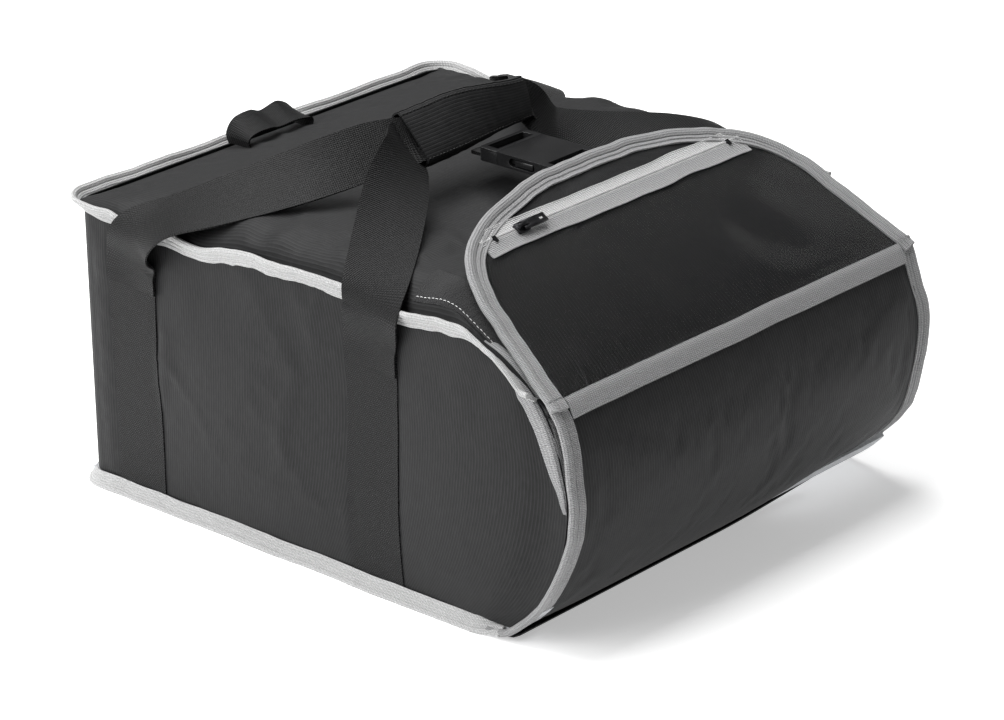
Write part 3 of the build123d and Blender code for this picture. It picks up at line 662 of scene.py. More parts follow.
def wall_grid():
    """The outer wrap as one grid: left panel front to back, back panel, right panel back to front."""
    patch = coons(*side_edges(SIDE_ROWS, SIDE_COLUMNS))
    y, z = patch[..., 0], patch[..., 1]
    t = np.linspace(0, 1, SIDE_ROWS)[:, None]
    s = np.linspace(0, 1, SIDE_COLUMNS)[None, :]
    pads = ((BACK - CORNER, STRAP_BACK + 0.025), (STRAP_BACK - 0.025, STRAP_FRONT + 0.025),
            (STRAP_FRONT - 0.025, -0.235))
    belly = np.zeros_like(y)
    for (start, end), size in zip(pads, (0.001, 0.0075, 0.0085)):
        across = np.clip((start - y) / (start - end), 0, 1)
        belly += size * np.sin(math.pi * across) ** 0.7
    sag = 0.003 * np.sin(math.pi * t) ** 0.8 * np.sin(math.pi * s) ** 0.5
    puff = belly * np.sin(math.pi * t**0.9) ** 0.6 + sag
    from_rim = np.linalg.norm(patch - patch[:, -1:], axis=2)
    puff = puff * smooth(from_rim, 0.006, 0.040)
    near_top = smooth(t, 0.6, 1.0) * (1 - t) * 4
    puckers = rough_on(y, z * 0.5, 0.030, 2) * 0.004 * near_top
    x = HALF + puff + puckers * (belly > 0.0004)
    left = np.stack((-x, y, z), axis=-1)[:, ::-1]
    right = np.stack((x, y, z), axis=-1)
    turn = np.linspace(0, math.pi / 2, TURN_COLUMNS + 2)[1:-1]
    height = np.repeat(left[:, -1:, 2], TURN_COLUMNS, axis=1)
    corner_left = np.stack((
        np.broadcast_to(-(HALF - CORNER) - CORNER * np.cos(turn), height.shape),
        np.broadcast_to(BACK - CORNER + CORNER * np.sin(turn), height.shape), height), axis=-1)
    corner_right = corner_left[:, ::-1] * (-1, 1, 1)
    width = np.linspace(CORNER - HALF, HALF - CORNER, BACK_COLUMNS)[None, :]
    back_puff = 0.006 * np.cos(math.pi * width / (2 * HALF)) ** 0.6 * np.sin(math.pi * t) ** 0.6
    back_height = np.repeat(left[:, -1:, 2], BACK_COLUMNS, axis=1)
    back_panel = np.stack((np.broadcast_to(width, back_puff.shape), BACK + back_puff, back_height), -1)
    return np.concatenate((left, corner_left, back_panel, corner_right, right), axis=1)


def wall_sewn(grid):
    """Where the wrap is held: its rim, under the webbing and down the back corners."""
    held = np.zeros(grid.shape[:2], bool)
    held[:2], held[-2:], held[:, :2], held[:, -2:] = True, True, True, True
    on_side = abs(grid[..., 0]) > HALF - 0.004
    for strap in (STRAP_FRONT, STRAP_BACK):
        held |= on_side & (abs(grid[..., 1] - strap) < WEBBING_WIDTH / 2 - 0.002)
    held |= (abs(grid[..., 0]) > HALF - CORNER - 0.002) & (grid[..., 1] > BACK - CORNER - 0.004)
    return held


walls = wall_grid()
walls = settle(walls, wall_sewn(walls), pressure=1.2, growth=0.006, cap=0.010)
wall_cover = cloth("wall_cover", walls, weave)
own(wall_cover, "box", "black_weave", "wall_outer", "left_foam", "right_foam", "back_foam")


def side_x(y, z):
    """How far out the left side panel stands at each (y, z)."""
    left = walls[:, :SIDE_COLUMNS]
    points = np.stack((np.ravel(y), np.ravel(z)), axis=1)
    return nearby(left[..., 1:].reshape(-1, 2), -left[..., 0].ravel(), points, 6).reshape(np.shape(y))


# ---- padded top
crown_rise = CROWN - EDGE
side_reach = HALF - DOME_EDGE
crown_radius = (side_reach**2 + crown_rise**2 - DOME_EDGE**2) / (2 * (crown_rise - DOME_EDGE))
back_run = BACK - DOME_START_Y
back_radius = (back_run**2 + crown_rise**2) / (2 * crown_rise)


def dome_height(x, y):
    """Height of the padded top, before it is blown out."""
    x, y = abs(np.asarray(x, float)), np.asarray(y, float)
    crown = crown_rise - crown_radius + np.sqrt(np.maximum(crown_radius**2 - x**2, 0))
    edge = np.sqrt(np.maximum(DOME_EDGE**2 - np.maximum(x - side_reach, 0) ** 2, 0))
    arch = np.minimum(crown, edge) / crown_rise
    behind = np.maximum(y - DOME_START_Y, 0)
    back = (crown_rise - back_radius + np.sqrt(back_radius**2 - behind**2)) / crown_rise
    dome = EDGE + crown_rise * arch * np.clip(back, 0, 1) ** 0.9
    slope = slope_height(y, 0.0094)
    gap = dome - slope
    soft = 0.006
    return np.where(abs(gap) < soft, dome - (gap + soft) ** 2 / (4 * soft), np.minimum(dome, slope))


TOP_ROWS, TOP_COLUMNS = 120, 110
LID_FRONT = -0.226


def top_grid():
    """The top panel, rows from front to back."""
    side = np.sin(np.linspace(-math.pi / 2, math.pi / 2, TOP_COLUMNS))
    straight = np.linspace(-1, 1, TOP_COLUMNS)
    x = (0.55 * side + 0.45 * straight) * HALF
    y = np.linspace(LID_FRONT, BACK - 0.001, TOP_ROWS)
    x, y = np.meshgrid(x, y)
    z = dome_height(x, y)
    near_side = smooth(abs(x), HALF - 0.06, HALF - 0.01) * (1 - smooth(abs(x), HALF - 0.01, HALF))
    behind_lap = smooth(y, -0.16, -0.10)
    z = z + rough_on(x * 0.3, y, 0.026, 5) * 0.0045 * near_side * behind_lap
    drop = (EDGE - edge_height(y)) * smooth(abs(x), HALF - 0.03, HALF) * smooth(y, -0.17, -0.13)
    return np.stack((x, y, z - drop), axis=-1)


top = top_grid()
top_held = np.zeros(top.shape[:2], bool)
top_held[:2], top_held[-2:], top_held[:, :2], top_held[:, -2:] = True, True, True, True
top_held |= top[..., 1] < -0.08
top_held |= (abs(top[..., 0]) < 0.11) & (abs(top[..., 1] - 0.01) < 0.075)
top = settle(top, top_held, pressure=0.5, growth=0.008, cap=0.0025)


def top_z(x, y):
    """Height of the finished top panel at each (x, y)."""
    points = np.stack((np.ravel(x), np.ravel(y)), axis=1)
    return nearby(top[..., :2].reshape(-1, 2), top[..., 2].ravel(), points, 5).reshape(np.shape(x))


lid_end = np.stack((top[0, :, 0], top[0, :, 1] - 0.001, top[0, :, 2] - 0.004), axis=-1)
lid_under = np.stack((top[0, :, 0], top[0, :, 1] + 0.004, top[0, :, 2] - 0.0115), axis=-1)
top_cover = cloth("top_cover", np.concatenate((lid_under[None], lid_end[None], top)), weave)
own(top_cover, "box", "black_weave", "top_outer", "top_foam")
lid_lining = top[2:-4, 5:-5] * (0.985, 1, 1) - (0, 0, 0.0095)
own(slab("top_lining", lid_lining, lid_lining - (0, 0, FOIL), foil), "box", "foil_lining", "top_liner")

# ---- bottom
bottom_y = np.concatenate((np.linspace(BACK - 0.004, FOOT_Y, 40), [FOOT_Y - 0.006, FOOT_Y - 0.012]))
bottom_z = np.concatenate((np.zeros(40), [0.0012, 0.0045]))
bottom_x = np.linspace(-HALF + 0.002, HALF - 0.002, 40)
bottom_grid = np.stack(np.broadcast_arrays(
    bottom_x[None, :], bottom_y[:, None], bottom_z[:, None]), axis=-1).astype(float)
bottom_grid[..., 2] += FOOT_LIFT * smooth(bottom_grid[..., 0], 0.02, HALF) * smooth(
    -bottom_grid[..., 1], 0.12, -FOOT_Y)
bottom_cover = slab("bottom_cover", bottom_grid, bottom_grid + (0, 0, CLOTH), weave)
own(bottom_cover, "box", "black_weave", "bottom_outer")

# ---- binding tapes of the box
flange = folded_profile(TAPE_WIDTH, 0.0030)


def loop_path(front, out):
    """A line round the left, back and right of the box, out from its walls, and its directions."""
    spacing = 0.0022
    turn = np.linspace(0, math.pi / 2, 9)[1:-1]
    reach, rear = HALF + out, BACK + out
    round_x = -(HALF - CORNER) - (CORNER + out) * np.cos(turn)
    round_y = BACK - CORNER + (CORNER + out) * np.sin(turn)
    left = [(-reach, y) for y in np.linspace(front, BACK - CORNER, 60)]
    back = [(x, rear) for x in np.linspace(CORNER - HALF, HALF - CORNER, 60)]
    corner = list(zip(round_x, round_y))
    line = np.array(left + corner + back + [(-x, y) for x, y in corner[::-1]]
                    + [(-x, y) for x, y in left[::-1]])
    count = int(np.linalg.norm(np.diff(line, axis=0), axis=1).sum() / spacing)
    line = resample(line, count)
    along = unit(np.gradient(line, axis=0))
    sideways = np.stack((-along[:, 1], along[:, 0], np.zeros(count)), axis=1)
    return line, sideways


seam, away = loop_path(RIM_CORNER[2][0] - 0.004, 0.0012)
rim_z = np.interp(-seam[:, 1], -front_rim[:corner_at, 0], front_rim[:corner_at, 1])
seam_z = np.where(seam[:, 1] < RIM_CORNER[0][0], rim_z, edge_height(seam[:, 1])) - 0.0055
shown = (seam[:, 0] < 0) | (seam[:, 1] > -0.150)
seam, seam_z, away = seam[shown], seam_z[shown], away[shown]
top_path = np.column_stack((seam, seam_z))
lean = 0.42 + 0.25 * rough(top_path, 0.05, 4)
lean = (lean + 0.9 * (1 - smooth(seam[:, 1], -0.20, -0.14)) + 0.5 * smooth(seam[:, 1], 0.2, BACK)
        + 1.8 * (seam[:, 0] > 0) * (1 - smooth(seam[:, 1], -0.12, -0.05)))[:, None]
up = np.array((0.0, 0.0, 1.0))
outs = unit(away * lean + up)
faces = unit(away - outs * (away * outs).sum(axis=1, keepdims=True))
top_binding = sweep("top_edge_binding", top_path, outs, faces, flange, white_tape, 0.0009, 0.0016)
own(top_binding, "box", "white_binding", "top_binding")

floor_seam, away = loop_path(FOOT_Y + 0.001, 0.0014)
shown = (floor_seam[:, 0] < 0) | (floor_seam[:, 1] > FOOT_Y + 0.016)
floor_seam, away = floor_seam[shown], away[shown]
near_foot = 1 - smooth(floor_seam[:, 1], FOOT_Y, FOOT_Y + 0.030)
floor_seam = floor_seam - away[:, :2] * (0.006 * near_foot)[:, None]
foot_rise = 0.006 * near_foot * (floor_seam[:, 0] > 0)
bottom_path = np.column_stack((floor_seam, SEAM_HEIGHT + foot_rise))
drop = (0.95 + 0.25 * rough(bottom_path, 0.06, 6) - 0.5 * near_foot)[:, None]
outs = unit(away * 0.62 - up * drop)
faces = unit(away + up * 0.7)
faces = unit(faces - outs * (faces * outs).sum(axis=1, keepdims=True))
bottom_binding = sweep("bottom_edge_binding", bottom_path, outs, faces, flange, white_tape,
                       0.0007, 0.0008)
own(bottom_binding, "box", "white_binding", "bottom_binding")


def channel_profile():
    """Section of the binding round a panel's raw edge: two legs with stitch grooves and a bow."""
    hollow, wall, bow_size = 0.0060, 0.0008, 0.003
    outer = hollow + wall
    turn = np.linspace(math.pi / 2, -math.pi / 2, 9)
    bow = np.stack((-bow_size + bow_size * np.cos(turn), outer * np.sin(turn)), axis=1)
    bow_in = np.stack((-0.004 + bow_size * np.cos(turn), hollow * np.sin(turn)), axis=1)[::-1]
    legs = np.linspace(-TAPE_WIDTH, -0.004, 6)[:, None]
    groove = 0.0003 * (hump(legs, -0.0095, 0.0006) + hump(legs, -0.0055, 0.0006))
    leg_top = np.hstack((legs, outer - groove))
    ends = np.array(((-TAPE_WIDTH, -hollow), (-TAPE_WIDTH, hollow)))
    return np.vstack((leg_top, bow, leg_top[::-1] * (1, -1), ends[:1], bow_in, ends[1:]))


rim = resample(front_rim, 160)
rim_x = (HALF - 0.0040 + 0.0022 * hump(rim[:, 1], 0.170, 0.035)
         - 0.012 * (1 - smooth(rim[:, 1], 0.085, 0.125)))
narrowing = 0.3 + 0.7 * smooth(rim[:, 1], 0.110, 0.165)
along = unit(np.gradient(rim, axis=0))
rim_out = np.column_stack((np.zeros(160), along[:, 1], -along[:, 0]))
rim_out *= -np.sign(rim_out[80, 1])
for side, side_name in SIDES:
    rim_path = np.column_stack((side * rim_x, rim))
    rim_face = np.tile((side, 0.0, 0.0), (160, 1))
    mouth = sweep(f"mouth_edge_binding_{side_name}", rim_path, rim_out, rim_face,
                  channel_profile(), grey_tape, 0.0006, scale=narrowing)
    own(mouth, "box", "white_binding", f"mouth_binding_{side_name}")


# ---- front flap
def arc_angle(height):
    """Angle about the front's centre of the outside at that height."""
    return math.pi - math.asin((height - ARC_Z) / FRONT_RADIUS)


FLAP_ROWS, FLAP_COLUMNS = 70, 120
FLAP_REACH = HALF - 0.007


def front_grid(depths):
    """A sheet over the rounded front, depths below its outside, rows from bottom to top."""
    angle = np.linspace(arc_angle(0.0008), arc_angle(FOLD_Z - 0.001), FLAP_ROWS)[:, None]
    x = np.linspace(-FLAP_REACH, FLAP_REACH, FLAP_COLUMNS)[None, :]
    radius = FRONT_RADIUS - depths
    return np.stack(np.broadcast_arrays(
        x, ARC_Y + radius * np.cos(angle), ARC_Z + radius * np.sin(angle)), axis=-1)


flap_s = np.linspace(-1, 1, FLAP_COLUMNS)[None, :]
flap_t = np.linspace(0, 1, FLAP_ROWS)[:, None]
centre_fill = (1 - abs(flap_s) ** 6) * (1 - (2 * flap_t - 1) ** 8)
outside = front_grid(0.0022 - 0.0032 * centre_fill)
foot_lift = FOOT_LIFT * smooth(outside[..., 0], 0.02, HALF) * (1 - smooth(outside[..., 2], 0.02, 0.07))
outside[..., 2] += foot_lift
flap_held = np.zeros(outside.shape[:2], bool)
flap_held[:6], flap_held[-2:], flap_held[:, :3], flap_held[:, -3:] = True, True, True, True
outside = settle(outside, flap_held, pressure=0.8, growth=0.004, cap=0.005)
inner_fill = (1 - abs(flap_s) ** 10) * smooth(flap_t, 0.16, 0.32) * (1 - smooth(flap_t, 0.86, 1.0))
inside = front_grid(0.0040 + 0.0052 * inner_fill)
inside[..., 2] = np.maximum(inside[..., 2], 0.0012) + foot_lift
hinge_low = (0, SILL_Y + 0.006, SILL_Z - 0.017)
hinge_high = (0, SILL_Y - 0.007, SILL_Z + 0.020)
flap_front_cover = slab("flap_front_cover", outside, inside, weave)
bend(flap_front_cover, ("box", "flap_lower"), hinge_low, hinge_high, "black_weave",
     "flap_front_outer", "flap_front_foam")

lining_rows = slice(int(FLAP_ROWS * 0.15), FLAP_ROWS - 1)
lining = inside[lining_rows, 3:-3]
lining_gap = normals_of(lining)
flap_front_lining = slab("flap_front_lining", lining - lining_gap * 0.0002,
                         lining - lining_gap * 0.0008, foil)
bend(flap_front_lining, ("box", "flap_lower"), hinge_low, hinge_high, "foil_lining",
     "flap_front_liner")

flap_tape = folded_profile(0.0125, 0.0042, (0.25, 0.55), 0.35)
angle = np.linspace(arc_angle(0.004), arc_angle(FOLD_Z + 0.005), 110)
radius = FRONT_RADIUS - 0.0030
edge_line = np.column_stack((ARC_Y + radius * np.cos(angle), ARC_Z + radius * np.sin(angle)))
foot_line = ((FOOT_Y + 0.014, 0.0035), (FOOT_Y + 0.005, 0.0034))
edge_line = resample(np.vstack((foot_line, edge_line)), 120)
kinks = 0.0055 * rough(np.column_stack((edge_line * 0, edge_line[:, 1])), 0.040, 8)
edge_x = HALF - 0.0085 + kinks * smooth(edge_line[:, 1], 0.01, 0.04)
along = unit(np.gradient(edge_line, axis=0))
edge_face = np.column_stack((np.zeros(120), -along[:, 1], along[:, 0]))
for side, side_name in SIDES:
    edge_rise = foot_lift.max() * (1 - smooth(edge_line[:, 1], 0.02, 0.07)) if side > 0 else 0.0
    edge_path = np.column_stack((side * edge_x, edge_line[:, 0], edge_line[:, 1] + edge_rise))
    edge_out = np.tile((side, 0.0, 0.0), (120, 1))
    edging = sweep(f"flap_edge_binding_{side_name}", edge_path, edge_out, edge_face, flap_tape,
                   grey_tape, 0.0008, 0.0019)
    bend(edging, ("box", "flap_lower"), hinge_low, hinge_high, "grey_binding",
         *(("flap_front_binding",) if side < 0 else ()))

# ---- the lap
lap_up = np.array((0.0, math.cos(LAP_ANGLE), math.sin(LAP_ANGLE)))
lap_out = np.array((0.0, -math.sin(LAP_ANGLE), math.cos(LAP_ANGLE)))


def lap_point(x, run, depth):
    """A point on the lap: x, distance up its slope, depth below its outside."""
    x, run, depth = np.broadcast_arrays(x, run, depth)
    base = np.stack((x, np.full(x.shape, FOLD_Y), np.full(x.shape, FOLD_Z)), axis=-1).astype(float)
    return base + run[..., None] * lap_up - depth[..., None] * lap_out


right_edge = spline(((HALF + 0.003, -0.002), (0.2005, 0.035), (0.193, 0.070), (0.186, 0.103),
                     (0.165, 0.135), (0.122, 0.160), (0.063, 0.174), (0.03, LAP_RUN - 0.0005),
                     (0.0, LAP_RUN)), 120)


def lap_reach(run):
    """Half the lap's width at a distance up its slope."""
    return np.interp(run, right_edge[:, 1], right_edge[:, 0])


LAP_ROWS, LAP_COLUMNS = 72, 120


def lap_grid(inset):
    """Places (x, run) over the whole lap, set in from its edge."""
    scale = (LAP_RUN - inset) / LAP_RUN
    t = np.linspace(0, 1, LAP_ROWS)
    run = LAP_RUN * scale * (1 - (1 - t) ** 1.15)
    s = np.linspace(-1, 1, LAP_COLUMNS)
    x = s[None, :] * (lap_reach(run / scale)[:, None] - inset)
    top_line = np.interp(abs(x), right_edge[::-1, 0], right_edge[::-1, 1])
    return x, np.minimum(run[:, None], np.broadcast_to(top_line * scale, x.shape))


def lap_depth(x, run):
    """Depth of the lap's outside: it swells between its seams and lies flat at the zip."""
    low_pad = np.sin(math.pi * np.clip((run - 0.010) / 0.112, 0, 1)) ** 0.8
    fill = np.clip(1 - (abs(x) / (lap_reach(run) - 0.010)) ** 4, 0, 1)
    folds = 0.0010 * rough_on(x, run, 0.045, 9) * low_pad
    return 0.0009 - (0.0026 * low_pad * fill) - folds * fill


lap_x, lap_run = lap_grid(0.0075)
lap_front = lap_point(lap_x, lap_run, lap_depth(lap_x, lap_run) + 0.0002)
lap_fill = np.clip(1 - (abs(lap_x) / (lap_reach(lap_run) - 0.001)) ** 8, 0, 1)
lap_fill = lap_fill * smooth(lap_run, 0.0, 0.03) * (1 - smooth(lap_run, LAP_RUN - 0.03, LAP_RUN - 0.004))
lap_back = lap_point(lap_x, lap_run, 0.0026 + 0.0023 * lap_fill)
lap_cover = slab("lap_cover", lap_front, lap_back, weave)
own(lap_cover, "flap_upper", "black_weave", "lap_outer", "lap_foam")
lap_lining = slab("lap_lining", lap_point(lap_x, lap_run, 0.0028 + 0.0023 * lap_fill)[2:-1],
                  lap_point(lap_x, lap_run, 0.0033 + 0.0023 * lap_fill)[2:-1], foil)
own(lap_lining, "flap_upper", "foil_lining", "lap_liner")

outline = resample(np.vstack((right_edge * (-1, 1), right_edge[-2::-1])), 330)
along = unit(np.gradient(outline, axis=0))
lap_inset = 0.0115
inner_line = outline + np.column_stack((along[:, 1], -along[:, 0])) * lap_inset
lap_edge_path = lap_point(inner_line[:, 0], inner_line[:, 1], 0.0014)
lap_edge_out = unit(-along[:, 1:] * (1, 0, 0) + along[:, :1] * lap_up)
lap_edge_face = np.tile(lap_out, (330, 1))
lap_binding = sweep("lap_edge_binding", lap_edge_path, lap_edge_out, lap_edge_face, flap_tape,
                    grey_tape, 0.0008, 0.0014)
own(lap_binding, "flap_upper", "grey_binding", "lap_binding")

# ---- cross tape over the fold
tape_x = np.linspace(-HALF + 0.011, HALF - 0.011, 190)
wander = rough_on(tape_x, tape_x * 0, 0.05, 12) * 0.0010
tape_rows = []
for offset in np.linspace(-0.0125, 0.0040, 8):
    if offset < 0:
        angle = arc_angle(FOLD_Z) - offset / FRONT_RADIUS
        radius = FRONT_RADIUS + 0.0006
        row = np.stack((tape_x, np.full(190, ARC_Y + radius * math.cos(angle)),
                        np.full(190, ARC_Z + radius * math.sin(angle))), axis=-1)
    else:
        row = lap_point(tape_x, offset, -0.0006)
    tape_rows.append(row + wander[:, None] * lap_up)
cross_cover = cloth("cross_tape_cover", np.array(tape_rows), grey_tape, 0.0012)
bend(cross_cover, ("flap_lower", "flap_upper"), (0, FOLD_Y - 0.004, FOLD_Z - 0.006),
     (0, FOLD_Y + 0.005, FOLD_Z + 0.004), "grey_binding", "cross_tape")

# ---- window film and zip
film_rows, film_columns = 40, 90
film_run = np.linspace(0.003, ZIP_RUN - 0.0145, film_rows)[:, None]
film_s = np.linspace(-1, 1, film_columns)[None, :]
film_x = film_s * (lap_reach(film_run) - 0.0125)
film_run = np.broadcast_to(film_run, film_x.shape)
film_top = lap_depth(film_x, film_run) - 0.0008
film_bow = 0.0012 * np.sin(math.pi * np.linspace(0, 1, film_rows))[:, None] * (1 - film_s**4)
window = slab("window_film_sheet", lap_point(film_x, film_run, film_top - film_bow),
              lap_point(film_x, film_run, film_top - film_bow + FILM), film)
own(window, "flap_upper", "clear_film", "window_film")

zip_half = float(lap_reach(ZIP_RUN)) - 0.0095
zip_x = np.linspace(-zip_half, zip_half, 150)[None, :]
zip_wander = rough_on(zip_x, zip_x * 0, 0.04, 15) * 0.0014
t = np.linspace(0, 1, 9)[:, None]
for node, start, end, material in (("zip_tape_lower", -0.0135, -0.0010, zip_cloth),
                                   ("zip_tape_upper", 0.0010, 0.0100, zip_ribbed)):
    outer_edge, inner_edge = (0.0, 1.0) if start < 0 else (1.0, 0.0)
    offset = start + (end - start) * t
    roll = 0.0007 * (hump(t, outer_edge, 0.12) + 0.8 * hump(t, inner_edge, 0.2))
    grid = lap_point(zip_x, ZIP_RUN + offset + zip_wander * abs(offset) / 0.01, -roll)
    own(cloth(f"{node}_cover", grid, material, 0.0008), "flap_upper", "zip_tape", node)

coil_points, coil_faces = [], []
ring_turn = np.linspace(0, 2 * math.pi, 8, endpoint=False)
for tooth_x in np.arange(-zip_half + 0.004, zip_half - 0.004, ZIP_PITCH):
    base = len(coil_points)
    for place, size in ((-0.0026, 0.4), (-0.0018, 0.9), (0.0, 1.0), (0.0018, 0.9), (0.0026, 0.4)):
        ring_x = tooth_x + 0.00062 * size * np.cos(ring_turn)
        ring_depth = 0.0004 + 0.0006 * size * np.sin(ring_turn)
        coil_points.extend(lap_point(ring_x, ZIP_RUN + place, ring_depth))
    for ring in range(4):
        for side in range(8):
            low, after = base + ring * 8, (side + 1) % 8
            coil_faces.append((low + side, low + after, low + 8 + after, low + 8 + side))
    coil_faces.append(tuple(range(base, base + 8)))
    coil_faces.append(tuple(range(base + 32, base + 40)))
corner_count = sum(len(face) for face in coil_faces)
zip_coil = make_piece("zip_coil_teeth", coil_points, coil_faces, [np.zeros((corner_count, 2))], coil)
own(zip_coil, "flap_upper", "zip_coil", "zip_teeth")

# ---- hook and loop patches
for side, side_name in SIDES:
    low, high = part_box(f"loop_patch_{side_name}")
    patch_x, patch_y = np.meshgrid(np.linspace(low.x, high.x, 14), np.linspace(low.y, high.y, 36))
    patch_grid = np.stack((patch_x, patch_y, top_z(patch_x, patch_y) + 0.0016), axis=-1)
    loop_piece = cloth(f"loop_tape_{side_name}", patch_grid, pile, 0.0014)
    own(loop_piece, "box", "hook_loop_tape", f"loop_patch_{side_name}")
    outer_column = 1 if side < 0 else -2
    row = patch_grid[:, outer_column] + (0, 0, 0.0001)
    own(stitches(f"loop_tape_stitching_{side_name}", row, np.tile(up, (len(row), 1)), thread_white,
                 thick=0.0003), "box", "white_binding")
    low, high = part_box(f"hook_patch_{side_name}")
    hook_x, hook_run = np.meshgrid(np.linspace(low.x, high.x, 12), np.linspace(0.014, 0.062, 20))
    reach_share = np.clip(1 - (abs(hook_x) / (lap_reach(hook_run) - 0.001)) ** 8, 0, 1)
    hook_depth = 0.0036 + 0.0023 * reach_share * smooth(hook_run, 0.0, 0.03)
    hook_piece = slab(f"hook_tape_{side_name}", lap_point(hook_x, hook_run, hook_depth),
                      lap_point(hook_x, hook_run, hook_depth + 0.0011), pile)
    own(hook_piece, "flap_upper", "hook_loop_tape", f"hook_patch_{side_name}")


# ---- webbing
def ribbon(name, centres, acrosses, widths, material, rows=90, cup=0.0, thickness=WEBBING):
    """A strap along a smooth line, with its width direction and width given at each point."""
    centre = spline(centres, rows)
    places = np.linspace(0, 1, rows)
    source = run_of(centres)
    source = source / source[-1]
    across = np.stack([np.interp(places, source, axis) for axis in np.array(acrosses).T], axis=1)
    width = np.interp(places, source, widths)
    along = unit(np.gradient(centre, axis=0))
    across = unit(across - along * (across * along).sum(axis=1, keepdims=True))
    face = np.cross(along, across)
    s = np.linspace(-1, 1, 15)
    grid = (
        centre[:, None]
        + across[:, None] * (s[None, :, None] * width[:, None, None] / 2)
        + face[:, None] * (cup * (s**2 - 0.4))[None, :, None]
    )
    grid = grid + face[:, None] * (rough(grid, 0.03, 21) * 0.0006)[..., None]
    return slab(name, grid - face[:, None] * thickness / 2, grid + face[:, None] * thickness / 2,
                material)


for side, side_name in SIDES:
    for strap_y, place in ((STRAP_FRONT, "front"), (STRAP_BACK, "back")):
        strap_z, offset = np.meshgrid(np.linspace(0.0085, STRAP_SEAM + 0.018, 80),
                                      np.linspace(-0.5, 0.5, 13), indexing="ij")
        sway = 0.0012 * np.sin(strap_z * 37 + strap_y * 11)
        strap_at = strap_y + offset * WEBBING_WIDTH + sway
        out = side_x(strap_at, strap_z) + 0.0006
        middle_out = out.mean(axis=1, keepdims=True)
        out = 0.35 * out + 0.65 * np.maximum(middle_out, out)
        front = np.stack((side * (out + WEBBING), strap_at, strap_z), axis=-1)
        back = np.stack((side * out, strap_at, strap_z), axis=-1)
        strap = slab(f"side_webbing_{place}_{side_name}", front, back, webbing_black)
        own(strap, "box", "black_webbing", f"side_strap_{place}_{side_name}")

GRIP = sum(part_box("grip_webbing"), Vector()) / 2
grip_low, grip_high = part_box("grip_wrap_back")
GRIP_HALF = (grip_high.x - grip_low.x) / 2
LIFT_START = 0.236            # the legs begin to bend here when the grip is lifted

leg_routes = {
    "front": (((-0.2095, STRAP_FRONT, STRAP_SEAM), (-0.2105, STRAP_FRONT - 0.001, 0.200),
               (-0.2165, STRAP_FRONT - 0.008, 0.226), (-0.2055, STRAP_FRONT - 0.004, 0.2455),
               (-0.170, -0.042, 0.2615), (-0.124, -0.010, 0.2790), (-0.094, 0.010, 0.2895)),
              ((0, 1, 0), (0, 1, 0), (-0.05, 1, 0.03), (-0.35, 1, 0.05), (-0.5, 0.85, 0.2),
               (-0.35, 0.75, 0.45), (-0.12, 0.68, 0.68)), -0.0012),
    "back": (((-0.2095, STRAP_BACK, STRAP_SEAM), (-0.2105, STRAP_BACK - 0.002, 0.200),
              (-0.2150, STRAP_BACK - 0.014, 0.222), (-0.2060, STRAP_BACK - 0.038, 0.2415),
              (-0.182, 0.115, 0.2560), (-0.140, 0.074, 0.2740), (-0.098, 0.043, 0.2890)),
             ((0, 1, 0), (0.02, 1, -0.05), (0.15, 1, -0.1), (0.45, 0.85, 0.1), (0.5, 0.7, 0.35),
              (0.35, 0.68, 0.5), (0.1, 0.65, 0.7)), 0.0012),
}
for side, side_name in SIDES:
    for place, (route, turns, layer) in leg_routes.items():
        shift = np.linspace(0, 1, len(route)) ** 2 * (2 * GRIP.x if side > 0 else 0.0)
        centres = [(side * -x + move, y, z) for (x, y, z), move in zip(route, shift)]
        grip_lean = math.radians(72 if side > 0 else 48)
        face = np.array((0.0, -math.sin(grip_lean), math.cos(grip_lean)))
        across = (0.0, math.cos(grip_lean), math.sin(grip_lean))
        mouth_y = GRIP.y + (0.0035 if side > 0 else 0.0)
        mouth_z = GRIP.z - (0.0030 if side > 0 else 0.0008)
        near = np.array((GRIP.x + side * (GRIP_HALF + 0.004), mouth_y, mouth_z)) + face * layer
        end = near - (side * 0.016, 0, 0)
        if side > 0:
            rises = (1, 1, 1, 1, 0.0035, 0.006, 0.016)
            centres = [(x, y, min(z, float(top_z(x, y)) + rise + layer))
                       for (x, y, z), rise in zip(centres, rises)]
        centres += [tuple(near), tuple(end)]
        acrosses = [(side * -x, y, z) for x, y, z in turns] + [across, across]
        narrow = 0.027 if side > 0 else 0.037
        widths = [WEBBING_WIDTH] * (len(centres) - 3) + [0.044, narrow + 0.001, narrow]
        leg = ribbon(f"handle_webbing_{place}_{side_name}", centres, acrosses, widths,
                     webbing_black, rows=130, cup=0.0014)
        bend(leg, ("box", "grip"), (side * 0.212, centres[2][1], LIFT_START), tuple(near),
             "black_webbing", f"handle_leg_{place}_{side_name}")


